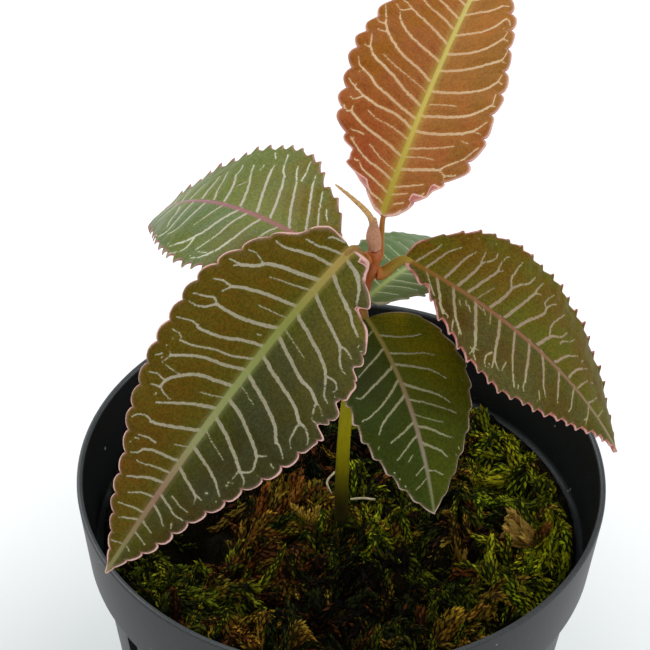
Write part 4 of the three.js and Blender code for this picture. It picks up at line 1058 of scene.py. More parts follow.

# %% [markdown]
# ## Veins
# The pale veins are what the plant is grown for. Each main vein leaves the midrib, sweeps towards the tip
# and forks just inside the margin, and no two are alike. A repeated pattern would show at once, so every
# vein is given as a few points on the flat blade, in mm. They could be painted on an image, but
# this way they stay sharp at any size: the distance from every point of the blade to the nearest vein is
# stored with the point, and the material draws the veins from that distance.

# %% Veins of the six leaves
# A vein is (width, along, out, along, out, ...) from its start to its end, listed for each half
VEINS = {
    "leaf_top_young": {
        1: [
            (0.24, 2, 0.8, 3, 2.6, 3.8, 3.7), (0.28, 3.5, 0.7, 4.5, 2.6, 5.5, 4.8, 6.3, 5.6, 6.5, 6.6),
            (0.34, 5.3, 0.8, 6.2, 2.8, 7, 5, 8.2, 6.7, 9.2, 8), (0.22, 6.5, 0.7, 7.6, 3, 8.9, 5),
            (0.36, 8.9, 1, 10, 3.6, 11.2, 6.8, 12, 8.2, 12.7, 9.2),
            (0.22, 12.7, 9.2, 12.5, 9.9, 13.3, 10.5), (0.16, 12.7, 9.2, 13.4, 9.2),
            (0.22, 11.2, 0.8, 12, 3, 12.6, 5.5, 13.3, 6.9), (0.2, 10, 6.3, 10.2, 8.3),
            (0.38, 12.9, 1, 13.8, 3, 14.3, 5.8, 15.2, 8.4),
            (0.24, 15.2, 8.4, 14.7, 8.9, 14.4, 9.6, 14.6, 10.1),
            (0.3, 15.2, 8.4, 16, 9.8, 16.4, 10.4, 17.2, 11.6),
            (0.36, 14.2, 0.8, 15.2, 3.2, 16.3, 5.5, 17, 7, 18.2, 8.6, 19, 10),
            (0.24, 19, 10, 19.5, 10.8, 20.5, 11.2),
            (0.38, 16.2, 0.8, 17.5, 3.2, 19, 5.4, 20.2, 7.4, 21.2, 9.2, 22.5, 10.3),
            (0.18, 22.4, 10.3, 22.6, 11.2), (0.24, 22.5, 10.3, 23.7, 10.6, 24.8, 11.2),
            (0.14, 18.3, 0.8, 19.3, 3, 20.4, 5.5, 21.8, 8),
            (0.36, 20, 0.9, 21.2, 3, 22.4, 5.4, 23.5, 6.9, 25.3, 8.8, 26.8, 9.9),
            (0.18, 25.3, 8.8, 25.6, 10.5), (0.22, 26.8, 9.9, 26.8, 10.8, 27.8, 11.9),
            (0.26, 26.8, 9.9, 28.5, 10.6, 30, 11.3), (0.34, 23, 0.8, 24, 2.8, 25.2, 5, 26.4, 6.7, 28, 8.2),
            (0.16, 28, 8.2, 29, 8.6), (0.36, 26, 0.8, 27.3, 2.8, 28.6, 5, 29.8, 7, 30.8, 8.3, 31, 9),
            (0.2, 29.9, 7.2, 29.6, 7.9, 29.3, 8.5, 30.3, 9.7),
            (0.3, 28.4, 0.8, 29.6, 2.6, 30.6, 4.6, 31.6, 6, 32.6, 7.6, 33.2, 9),
            (0.34, 30.2, 0.8, 31.4, 2.6, 32.2, 3.8, 33.4, 5.8, 34.4, 7.6),
            (0.3, 32.6, 0.8, 33.8, 2.8, 35, 5.2, 35.8, 6.6), (0.26, 35, 0.7, 36, 2.4, 36.9, 4.2),
            (0.2, 37.2, 0.6, 38, 1.8, 38.7, 2.8),
        ],
        -1: [
            (0.14, 0.4, 0.8, 1.2, 2, 1.9, 2.8), (0.2, 2.1, 1.3, 2.7, 2.8),
            (0.28, 3.2, 0.8, 3.6, 2, 3.9, 3), (0.28, 4.3, 0.8, 4.9, 3, 5.5, 5), (0.2, 3.8, 4.8, 4.4, 5.6),
            (0.42, 6.8, 1, 7.1, 3, 7.5, 5.3, 7.8, 6.9), (0.26, 7.7, 6.9, 7.3, 7.6, 7.3, 8.6, 7.6, 9.6),
            (0.2, 7.2, 7.7, 6.5, 8.1), (0.24, 7.9, 7, 8.8, 8.2, 9.8, 9.8, 11.5, 11.6),
            (0.2, 8.5, 1, 8.8, 3, 8.9, 5.3), (0.26, 9.7, 1, 10.1, 3, 10.5, 5.4, 11.1, 7.8),
            (0.38, 12.2, 1, 12.2, 4, 12.6, 6.8, 13.2, 9.4, 13.6, 10.4), (0.18, 13.4, 10, 13.2, 11.4),
            (0.24, 13.6, 10.4, 14.1, 11.2, 14.8, 11.9), (0.16, 11.9, 8.8, 11.8, 9.8),
            (0.38, 14.4, 1.1, 14.6, 3.5, 14.9, 6.5, 15.3, 8.3, 16.2, 10.2, 17, 11.6),
            (0.2, 17, 11.7, 18.2, 11.4, 18.8, 11.2), (0.16, 17, 11.7, 16.9, 12.3),
            (0.16, 16.2, 1.4, 16.3, 3.6, 16.4, 5.8),
            (0.36, 18.1, 1.2, 18.1, 4, 18.3, 6, 18.7, 8, 19.3, 9.5, 20.3, 10.8),
            (0.2, 20.3, 10.9, 21.4, 11), (0.18, 20.3, 10.9, 20.1, 11.6),
            (0.36, 21.2, 1.2, 21.4, 3.8, 21.9, 6.2, 22.6, 8.2, 23.2, 10.2),
            (0.2, 23.2, 10.3, 24, 10.6, 24.8, 10.5), (0.16, 23.1, 10.3, 22.9, 11),
            (0.38, 23.8, 1.1, 24, 3.8, 24.5, 5.9, 25.3, 7.6, 26.3, 9.1), (0.16, 26.3, 9.2, 27.5, 9.2),
            (0.18, 26.2, 9.2, 25.9, 10.1), (0.36, 26.9, 1, 27.2, 3.6, 27.7, 5.6, 28.6, 7, 29.6, 7.8),
            (0.2, 29.6, 7.8, 29.3, 8.5, 28.6, 9), (0.36, 30.4, 0.9, 30.7, 3, 31.1, 5, 31.8, 6.3),
            (0.18, 31.8, 6.3, 31.7, 7.3), (0.32, 33, 0.8, 33.3, 2.8, 33.9, 4.6, 34.6, 5.7),
            (0.26, 35.3, 0.7, 35.7, 2.4, 36.3, 3.9), (0.2, 37.4, 0.6, 37.8, 1.6, 38.3, 2.5),
        ],
    },
    "leaf_front_left": {
        1: [
            (0.42, 2, 1.1, 3.2, 3.2, 4.2, 4.5, 6, 5.8),
            (0.48, 4.3, 0.6, 5.9, 3.3, 7.2, 6.1, 8, 7.2, 8.6, 8.6),
            (0.48, 7.8, 0.6, 9, 3, 10.2, 5.8, 11, 7.6), (0.3, 11, 7.6, 10.9, 8.7, 11.4, 10),
            (0.34, 11.1, 7.8, 12.3, 8.7, 13.3, 9.8, 13.4, 10.6),
            (0.5, 11.5, 0.6, 12.3, 2.9, 13.5, 6, 14.5, 7.9, 15.3, 8.7),
            (0.26, 15.3, 8.7, 15.1, 9.8, 15.2, 10.5, 15.8, 11),
            (0.34, 15.3, 8.7, 16.6, 9.6, 17.7, 10.3, 18, 11.2), (0.2, 16.2, 10.9, 16.4, 10.8),
            (0.2, 14.1, 0.8, 14.7, 3, 15.3, 5),
            (0.5, 15.3, 0.6, 16.5, 3.4, 17.8, 6.6, 18.1, 8.4, 18.9, 9.8),
            (0.2, 18.9, 9.9, 19.1, 10.7, 19.8, 11.6), (0.26, 19, 9.9, 20.2, 10.4, 21, 10.8, 21.2, 11.7),
            (0.5, 18.6, 0.6, 19.5, 3, 20.3, 5.6, 21.2, 8, 22.5, 9.8),
            (0.32, 22.5, 9.8, 22.6, 10.8, 23.3, 12, 24.2, 12.5),
            (0.3, 22.6, 9.9, 24.2, 10.1, 25.5, 10.4, 26, 11),
            (0.5, 21.8, 0.6, 22.8, 3.2, 24, 6, 25.2, 7.8, 26.7, 9), (0.3, 26.6, 8.9, 27, 10, 27.9, 10.9),
            (0.18, 23.6, 0.8, 24, 2.2, 24.5, 3.5), (0.5, 26, 0.6, 26.6, 2.8, 27.8, 5, 29.2, 7.3, 29.8, 8),
            (0.26, 29.7, 7.9, 29.5, 8.4, 29, 9), (0.28, 29.8, 8, 31, 8.5, 32, 8.6, 32.8, 7.7),
            (0.5, 29, 0.6, 30, 3, 31.3, 5.2, 32.9, 7.5), (0.28, 32.9, 7.5, 33.5, 8.5, 34.4, 8.9),
            (0.16, 33, 7.2, 34.3, 7.2), (0.2, 35, 7, 35.1, 7), (0.2, 35.5, 7, 35.6, 7),
            (0.2, 31.3, 0.8, 32.2, 2.8, 32.9, 4.6),
            (0.46, 34, 0.6, 34.8, 3, 35.8, 5.2, 36.8, 6.4, 37.4, 7.1),
            (0.42, 37.4, 0.6, 38.3, 2.6, 39, 4.1), (0.26, 39, 4.1, 39.1, 4.7, 39.1, 5.4),
            (0.26, 39, 4.1, 39.6, 4.6, 40.1, 4.8), (0.24, 38, 5.3, 38, 5.5),
            (0.22, 41.1, 1.8, 41.5, 3.3, 41.7, 4.7), (0.34, 41.9, 0.6, 42.4, 2.2, 43, 3.5, 43, 4.8),
            (0.34, 43.5, 0.5, 44.2, 1.9, 45.2, 3.1), (0.2, 44.1, 3.8, 44.8, 4.1),
            (0.26, 46.2, 0.5, 46.5, 1.2, 46.8, 2.2), (0.24, 48, 0.4, 48.3, 1.3, 48.7, 2.4),
            (0.12, 50.3, 0.4, 50.6, 1.1), (0.2, 29.5, 10.1, 29.8, 10.7),
        ],
        -1: [
            (0.14, 0.4, 1.4, 1.1, 2.5, 2, 3.6), (0.3, 1.8, 1, 2.5, 2.4, 3.4, 4, 4, 5.6),
            (0.4, 3.6, 0.6, 4.3, 2.9, 5.3, 5, 6.2, 6.8, 6.6, 8.6),
            (0.5, 6.2, 0.6, 7.2, 2.8, 8, 5, 9.1, 7.1, 10.3, 8.3, 11.5, 10), (0.2, 11.5, 10, 12.2, 10.8),
            (0.3, 11.5, 10, 12, 11.9), (0.22, 9.5, 7.9, 9.2, 9.3, 9.6, 10.8),
            (0.24, 8, 0.6, 8.9, 2.6, 9.6, 4.4, 10.2, 5.8),
            (0.46, 10.8, 0.6, 11.6, 3, 12.5, 5.5, 13.5, 7.7, 14.3, 8.9), (0.26, 14.3, 8.9, 15.6, 9.6),
            (0.28, 14.3, 8.9, 14.5, 10.3, 15.2, 11.8), (0.16, 12.8, 0.6, 13.3, 2.3, 13.9, 4.5),
            (0.48, 14.7, 0.7, 15.8, 3, 16.6, 5, 17.1, 7.2, 17.3, 9),
            (0.3, 17.3, 9, 16.9, 9.8, 17.5, 11, 18.2, 12.6),
            (0.3, 17.3, 9, 18.4, 9.9, 19, 10.8, 19.4, 12.4), (0.14, 16.6, 1.5, 16.9, 2),
            (0.42, 17.8, 0.8, 18.7, 3, 20, 5.2, 20.8, 7.3, 21.2, 9.2),
            (0.24, 21, 9.2, 21.1, 10.4, 22, 12.5), (0.28, 19.9, 0.6, 21.3, 3, 22, 5.2, 23.4, 8, 24, 9.9),
            (0.2, 24, 9.9, 23.4, 10.2, 23.5, 11.8),
            (0.42, 21.7, 0.6, 22.8, 3, 23.9, 6.2, 25.2, 8.2, 26.3, 9.7), (0.2, 26.2, 9.6, 27.3, 9.9),
            (0.2, 26.2, 9.6, 26, 10.1),
            (0.46, 24.4, 0.6, 25.2, 2.8, 26, 5, 27.5, 6.8, 29.2, 8.1, 30.4, 8.2),
            (0.14, 27.4, 6.8, 27.6, 8, 27.6, 9.4), (0.26, 30.3, 8.1, 30.9, 9.6),
            (0.22, 29.3, 8.2, 29.3, 9.8, 29.8, 10.9), (0.22, 30.4, 8.1, 30.7, 7.2, 30.9, 6),
            (0.16, 26.5, 0.8, 27.2, 2.2, 27.6, 3.3),
            (0.46, 28.2, 0.6, 29.4, 3, 30.8, 5.2, 31.7, 6.4, 32.3, 7.4), (0.22, 31.4, 8.2, 31.6, 8.2),
            (0.44, 32, 0.8, 33.2, 3, 34.3, 5.2, 34.8, 6.5),
            (0.24, 34.7, 6.4, 34.5, 7.5, 35.2, 8.7, 35.8, 9), (0.16, 34.7, 0.8, 35.2, 1.9),
            (0.26, 36.6, 4.2, 36.6, 5.2, 36.9, 6.2, 37.2, 6.8), (0.14, 37.5, 6.3, 37.7, 7),
            (0.38, 36.8, 0.5, 37.3, 2.5, 37.7, 4.2, 38.3, 5.1), (0.26, 38.3, 5.1, 39.2, 5.6, 39.7, 6.3),
            (0.28, 38.8, 0.6, 39.2, 2.3, 39.8, 3.9, 40.1, 5), (0.4, 40.4, 0.6, 41.1, 2.6, 42, 4, 42.6, 5),
            (0.3, 42.8, 0.6, 43.2, 2, 44.2, 3.4), (0.28, 45.2, 0.5, 45.5, 2, 46.1, 3.8),
            (0.28, 46.5, 0.5, 47.1, 1.7, 47.7, 2.7), (0.12, 50.3, 0.3, 50.8, 1.8),
            (0.2, 26.8, 10.8, 27.4, 11.4),
        ],
    },
    "leaf_back_left": {
        1: [
            (0.3, 2.2, 0.8, 3, 3, 3.8, 4.6), (0.34, 4.6, 0.8, 5.6, 3.6, 6.4, 6.2),
            (0.34, 7, 0.8, 7.9, 4, 8.8, 7.4), (0.28, 9.2, 0.7, 9.8, 2, 10.2, 4, 11, 7.6),
            (0.36, 12.3, 1, 12.8, 3, 13.2, 5.4, 13.9, 7.6, 14.9, 9.3),
            (0.22, 14.9, 9.3, 15.6, 9.9, 17, 10.5),
            (0.34, 14.8, 0.9, 15.5, 3, 15.8, 5.6, 16.5, 7.6, 17.2, 9), (0.16, 15.2, 9, 16.6, 9.2),
            (0.42, 16.6, 1, 17.4, 3, 18, 5.2, 19.2, 7.4), (0.42, 19.2, 7.4, 20.6, 8.7, 22.3, 9.5),
            (0.24, 19, 7.4, 19, 9.2, 20.5, 10.6, 22, 10.8), (0.3, 19.7, 1, 20.4, 3.4, 21, 5.3),
            (0.38, 23.3, 1, 23.3, 3.4, 23.5, 5.4, 24, 6.7, 25, 7.4),
            (0.34, 26.1, 1, 25.8, 3, 25.6, 5.4, 25.8, 7, 26.6, 7.8, 28, 7.7),
            (0.32, 28.5, 1.6, 27.6, 3, 27.3, 4.8, 26.6, 6), (0.3, 30.5, 0.8, 31, 2.6, 31.6, 4.2),
            (0.26, 33, 0.7, 33.5, 2.2, 34.2, 3.4), (0.22, 35.4, 0.6, 36, 1.8, 36.6, 2.6),
            (0.18, 37.8, 0.5, 38.4, 1.4),
        ],
        -1: [
            (0.26, 2, 0.8, 2.8, 2.6), (0.14, 4.4, 4.2, 5.7, 5.6),
            (0.26, 3.6, 1, 5.2, 3.3, 6.4, 5, 7.4, 6.7, 8.2, 7.8),
            (0.32, 5.4, 0.8, 6.1, 2, 7.4, 4, 8.8, 6.2, 9.9, 7.9), (0.14, 9.9, 7.9, 10.6, 9.4),
            (0.36, 8.2, 0.8, 9.6, 2.8, 11, 5.2, 12.4, 7.5, 13.3, 8.5, 14.1, 9.7),
            (0.26, 11.7, 7.6, 12.1, 9, 13.1, 11.3), (0.36, 11.3, 0.6, 12.2, 2.8, 13.2, 5, 14.5, 7.3),
            (0.26, 14.5, 7.3, 15.5, 8.2, 16.9, 10.9), (0.4, 13.8, 0.6, 15, 3, 16.2, 5.4, 17.2, 7.6),
            (0.2, 17.2, 7.6, 17.4, 8.6), (0.4, 16.9, 0.6, 17.8, 2.8, 18.9, 4.6, 19.8, 5.8, 21, 7.8),
            (0.16, 19.2, 4.5, 20.4, 3.3), (0.18, 19, 7, 19.2, 8.2), (0.16, 18.5, 9.9, 19.8, 11),
            (0.4, 20.2, 0.6, 20.8, 2.6, 21.6, 4.2, 22.5, 5.3), (0.22, 22.5, 5.3, 22.6, 6.6, 23.2, 7.6),
            (0.32, 22.5, 0.6, 23.4, 2.4, 24, 4, 24.9, 5.8), (0.42, 25.1, 0.6, 25.4, 2, 25.6, 4, 26, 4.9),
            (0.3, 28, 0.7, 27.9, 2.4, 28, 3.4), (0.28, 30.4, 0.6, 31, 2, 31.5, 3),
            (0.24, 32.8, 0.5, 33.4, 1.8, 34, 2.6), (0.2, 35.2, 0.5, 35.8, 1.5),
        ],
    },
    "leaf_right": {
        1: [
            (0.28, 1.8, 0.6, 2.9, 2.6, 3.6, 3.9, 4, 5.2), (0.3, 3.4, 0.5, 4.4, 2.8, 5.2, 4.6, 6.5, 6.4),
            (0.36, 6.2, 0.5, 6.8, 2.4, 7.4, 4.6, 8.5, 7.1), (0.38, 8.2, 0.4, 8.8, 2, 9.4, 4, 9.7, 5.5),
            (0.22, 9.7, 5.5, 9.6, 6.8, 9.7, 8.1), (0.26, 9.7, 5.6, 10.8, 7.2, 11.3, 8.3, 11.3, 9.4),
            (0.38, 9.9, 0.4, 10.7, 2.4, 11.6, 4.6, 12.3, 6.4), (0.22, 12.3, 6.4, 12.9, 7),
            (0.24, 12.2, 6.4, 12.2, 7.6, 12.5, 9.2, 12.9, 10.2), (0.14, 11.4, 0.4, 12, 1.8, 12.8, 3.3),
            (0.42, 13.5, 0.4, 14.2, 2, 14.8, 4, 15, 5.2), (0.3, 15, 5.2, 14.4, 6.8, 14.6, 8.6, 15, 11),
            (0.34, 15, 5.2, 16, 7, 17, 8.3, 17.6, 10.4),
            (0.42, 15.9, 0.3, 16.8, 2.8, 17.7, 5.4, 18.4, 7.6), (0.24, 18.4, 7.6, 19.3, 8.3),
            (0.26, 18.4, 7.6, 18.6, 9, 19.1, 10.8), (0.42, 18.1, 0.3, 19, 2.4, 20.2, 4.4, 20.9, 5.8),
            (0.28, 20.9, 5.8, 20.9, 7, 21.5, 8.4, 22.3, 9.4),
            (0.24, 20.9, 6.9, 20.4, 7.2, 20.6, 8.6, 21.3, 10.4),
            (0.46, 21.7, 0, 22.3, 1.4, 22.9, 2.8, 23.4, 3.6),
            (0.28, 22.9, 3, 22.6, 4.2, 22.7, 5.6, 23.2, 7, 24.2, 9.4),
            (0.32, 23.4, 3.6, 24.6, 4.6, 25, 5.4, 25.4, 6.6),
            (0.24, 24.9, 3.5, 25.2, 4.4, 26.2, 5.4, 27, 6.8),
            (0.38, 25.3, 0.1, 26, 1.6, 26.8, 3, 27.6, 3.9, 28.5, 4.9),
            (0.36, 28.2, 0, 28.7, 1.6, 29.2, 2.8, 30, 3.8), (0.14, 30, 3.8, 30.9, 4.8),
            (0.28, 30.3, 0, 30.8, 1.4, 31.6, 3.1), (0.26, 33.2, 0.2, 33.8, 1.4, 34.4, 2.6),
            (0.2, 35.7, 0.1, 36, 1, 36.3, 2.2), (0.12, 32.3, 3.4, 32.8, 4), (0.12, 29.4, 4.6, 29.7, 5.3),
        ],
        -1: [
            (0.2, 4, 0.9, 5, 2, 6, 2.9), (0.34, 5.3, 0.7, 6.3, 2.2, 7.3, 3.9, 8.1, 4.8),
            (0.2, 7.9, 4.4, 8.7, 4.8), (0.38, 7.8, 0.8, 8.7, 2.6, 9.8, 4.4, 10.9, 5.7),
            (0.2, 10.9, 5.7, 11.6, 6.3), (0.2, 10.9, 5.7, 11.3, 6.6), (0.22, 9.7, 5, 9.9, 5.8, 10.3, 6.6),
            (0.46, 11.2, 0.6, 12.2, 2.8, 13.2, 4.9, 14, 6.5), (0.26, 14, 6.5, 14.1, 7.2, 15, 8.4),
            (0.2, 14, 6.7, 13.9, 8), (0.16, 13.4, 7.2, 14.6, 6.8), (0.2, 9.2, 1.9, 9.6, 2.5),
            (0.2, 10, 1.4, 10.3, 2), (0.24, 10.6, 1.8, 11.2, 2.5), (0.16, 11.8, 0.9, 12.6, 1.2),
            (0.16, 12.8, 1, 13.2, 1.6), (0.2, 13.8, 0.9, 14.4, 2.5),
            (0.26, 16.4, 6, 15.9, 7, 16.1, 7.8, 16.6, 8.5), (0.42, 15.4, 1, 16.1, 3, 16.6, 5, 17.2, 6.6),
            (0.24, 17.2, 6.6, 17.6, 7.1, 18.5, 7.6), (0.22, 17.2, 6.8, 17.4, 8),
            (0.36, 18, 1, 18.7, 3, 19.4, 4.8, 20.5, 6.6, 21.6, 8.2), (0.2, 18.8, 6, 18.9, 7.4),
            (0.4, 20.7, 1.1, 21.4, 3, 22, 5, 22.6, 6.3), (0.22, 22.6, 6.3, 22.6, 7, 23.1, 7.7),
            (0.4, 23.3, 1.2, 24.4, 3, 25.2, 4.6, 26.4, 5.7), (0.2, 25, 5.9, 25.8, 6.8),
            (0.14, 21.9, 7.4, 22.2, 8), (0.36, 26.7, 1.2, 27.4, 3, 28.4, 4.9),
            (0.34, 29.8, 1, 30.2, 2.4, 30.7, 3.6, 30.6, 4.4), (0.3, 33.5, 1, 33.9, 2, 34.3, 3.2),
            (0.16, 33.9, 2, 33.7, 2.9),
        ],
    },
    "leaf_front_small": {
        1: [
            (0.3, 3.2, 0.5, 4.1, 2.2, 4.8, 4.4, 5, 6), (0.28, 6.2, 0.9, 7, 3, 7.7, 5.3, 8.4, 6.3),
            (0.34, 7.7, 0.4, 8.8, 2.6, 10, 4.8, 11.6, 6.4),
            (0.36, 10.6, 0.3, 12, 2.4, 13.3, 4.4, 14.8, 5.7),
            (0.26, 12.8, 0.3, 13.8, 2.2, 15.1, 4.4, 16.4, 6.2), (0.16, 15.2, 0.8, 16.2, 2.4, 17, 3.9),
            (0.34, 16.5, 0.3, 17.4, 2, 18.6, 3.4, 19.2, 4.6),
            (0.36, 18.9, 0.3, 19.7, 1.5, 20.6, 2.6, 21.5, 3.2), (0.22, 22.6, 0.3, 23, 1.4, 23.7, 2.1),
        ],
        -1: [
            (0.18, 2.2, 0.4, 2.7, 1.4), (0.3, 5.1, 0.4, 6.2, 2.6, 7, 4.4, 7.8, 6),
            (0.36, 7.8, 0.3, 9, 3, 9.8, 5, 10.6, 6.9, 10.3, 7.6),
            (0.32, 9.8, 0.3, 11.4, 2.6, 12.7, 5, 13.4, 6.8, 13.6, 7.9),
            (0.38, 12, 0.3, 13.4, 2.8, 14.7, 5, 16, 6), (0.34, 15.8, 0.4, 16.7, 2.4, 17.5, 4.6),
            (0.3, 17.6, 0.4, 18.8, 2.4, 20, 4.2), (0.24, 21.9, 0.4, 22.7, 1.9),
            (0.12, 23.6, 0.4, 24.6, 2.2), (0.12, 20, 1.8, 20.6, 2.6), (0.16, 17.5, 6.4, 17.8, 6.6),
        ],
    },
    "leaf_back": {
        1: [
            (0.26, 2, 0.6, 3, 2.4, 3.8, 4), (0.28, 4.4, 0.6, 5.8, 3, 6.8, 5),
            (0.28, 7, 0.6, 8.6, 3.2, 9.8, 5.4), (0.28, 9.8, 0.6, 11.4, 3.4, 12.6, 5.8),
            (0.28, 12.6, 0.6, 14, 3.4, 15.2, 5.8), (0.28, 15.4, 0.6, 16.8, 3.2, 17.8, 5.4),
            (0.26, 18.2, 0.6, 19.4, 2.8, 20.4, 4.8), (0.26, 20.8, 0.6, 21.8, 2.4, 22.8, 4),
            (0.22, 23.2, 0.5, 24, 1.8, 24.8, 3), (0.18, 25.6, 0.5, 26.4, 1.8),
        ],
        -1: [
            (0.26, 2.5, 0.6, 3, 2, 3.3, 3.3), (0.28, 4.6, 0.6, 5.4, 2.8, 5.8, 4.8),
            (0.3, 6.7, 0.6, 7, 2.6, 7.2, 4.6), (0.28, 9.4, 0.6, 10.2, 3.2, 11, 5.6),
            (0.28, 12.2, 0.6, 13.2, 3.2, 14.2, 5.6), (0.28, 15, 0.6, 16.2, 3, 17.2, 5.2),
            (0.26, 17.8, 0.6, 19, 2.8, 20, 4.6), (0.26, 20.4, 0.6, 21.6, 2.4, 22.4, 3.8),
            (0.22, 23, 0.5, 24, 1.8, 24.6, 2.8), (0.18, 25.4, 0.5, 26.2, 1.8),
        ],
    },
}
print("veins in all:", sum(len(half) for leaf in VEINS.values() for half in leaf.values()))


# %% Draw each vein as a chain of short tapered strokes
THINNEST_VEIN, BRANCHING_WITHIN = 0.17, 0.5
BESIDE_MIDRIB, INSIDE_MIDRIB = 1.3, 0.05
SPECKS_PER_MM, SPECK_WIDTHS = 0.12, (0.17, 0.15)


def stretch_to_midrib(points):
    """Start the vein inside the midrib when it starts beside it."""
    if points[0, 1] < BESIDE_MIDRIB < points[1, 1]:
        slope = (points[1, 0] - points[0, 0]) / (points[1, 1] - points[0, 1])
        points[0] = (points[0, 0] - slope * (points[0, 1] - INSIDE_MIDRIB), INSIDE_MIDRIB)
    return points


def vein_strokes(leaf, side, veins, rnd):
    """Strokes (x1, y1, x2, y2, width1, width2) on the flat pattern, in mm, with y the distance out."""
    starts = np.array([vein[1:3] for vein in veins])
    strokes = []
    for width, *places in veins:
        points = stretch_to_midrib(np.array(places, dtype=float).reshape(-1, 2))
        reach = np.linalg.norm(np.diff(points, axis=0), axis=1).sum()
        course = smooth_course(points, max(3, int(reach / 0.35)))
        course = course + [(rnd.gauss(0, 0.03), rnd.gauss(0, 0.03)) for _ in course]
        branches = np.linalg.norm(starts - points[-1], axis=1).min() < BRANCHING_WITHIN
        along = np.linspace(0, 1, len(course))
        widths = width * (1.04 - (0.22 if branches else 0.55) * along ** 1.4)
        widths = np.maximum(widths * [rnd.uniform(0.9, 1.1) for _ in course], THINNEST_VEIN)
        for i in range(len(course) - 1):
            strokes.append((*course[i], *course[i + 1], widths[i], widths[i + 1]))
    for _ in range(int(leaf["length"] * SPECKS_PER_MM)):
        x = rnd.uniform(0.15, 0.85) * leaf["length"]
        y = half_width(leaf, side, x / leaf["length"]) * rnd.uniform(0.78, 0.92)
        strokes.append((x, y, x + rnd.uniform(-0.3, 0.3), y + rnd.uniform(-0.2, 0.2), *SPECK_WIDTHS))
    return strokes


print("no vein is thinner than", THINNEST_VEIN, "mm")

# %% Distance from points to the nearest stroke
def distance_to_strokes(x, y, strokes, limit=1.6):
    """How far each point lies outside the edge of the nearest stroke, in mm, negative inside it."""
    nearest = np.full(x.shape, limit)
    for x1, y1, x2, y2, w1, w2 in strokes:
        close = np.nonzero((x > min(x1, x2) - limit) & (x < max(x1, x2) + limit)
                           & (y > min(y1, y2) - limit) & (y < max(y1, y2) + limit))[0]
        if not len(close):
            continue
        dx, dy = x2 - x1, y2 - y1
        t = np.clip(((x[close] - x1) * dx + (y[close] - y1) * dy) / (dx * dx + dy * dy + 1e-9), 0, 1)
        gap = np.hypot(x[close] - x1 - t * dx, y[close] - y1 - t * dy) - (w1 + (w2 - w1) * t) / 2
        nearest[close] = np.minimum(nearest[close], gap)
    return nearest


gap = distance_to_strokes(np.zeros(1), np.ones(1), [(-1, 0, 1, 0, 0.4, 0.4)])
print("distance from (0, 1) to a stroke along x:", gap[0])

# %% [markdown]
# ## Leaf surfaces
# A leaf is satin: its waxy skin gives a weak even gloss, about 0.4 rough, over blade tissue that is
# softly clouded and finely streaked along the veins. The two halves differ in tone and each changes from
# base to tip, as does the midrib, which also wanders a little from the fold. Veins and margin are drawn
# from the stored distances, roughened by a noise, so their edges are as ragged as the real ones.

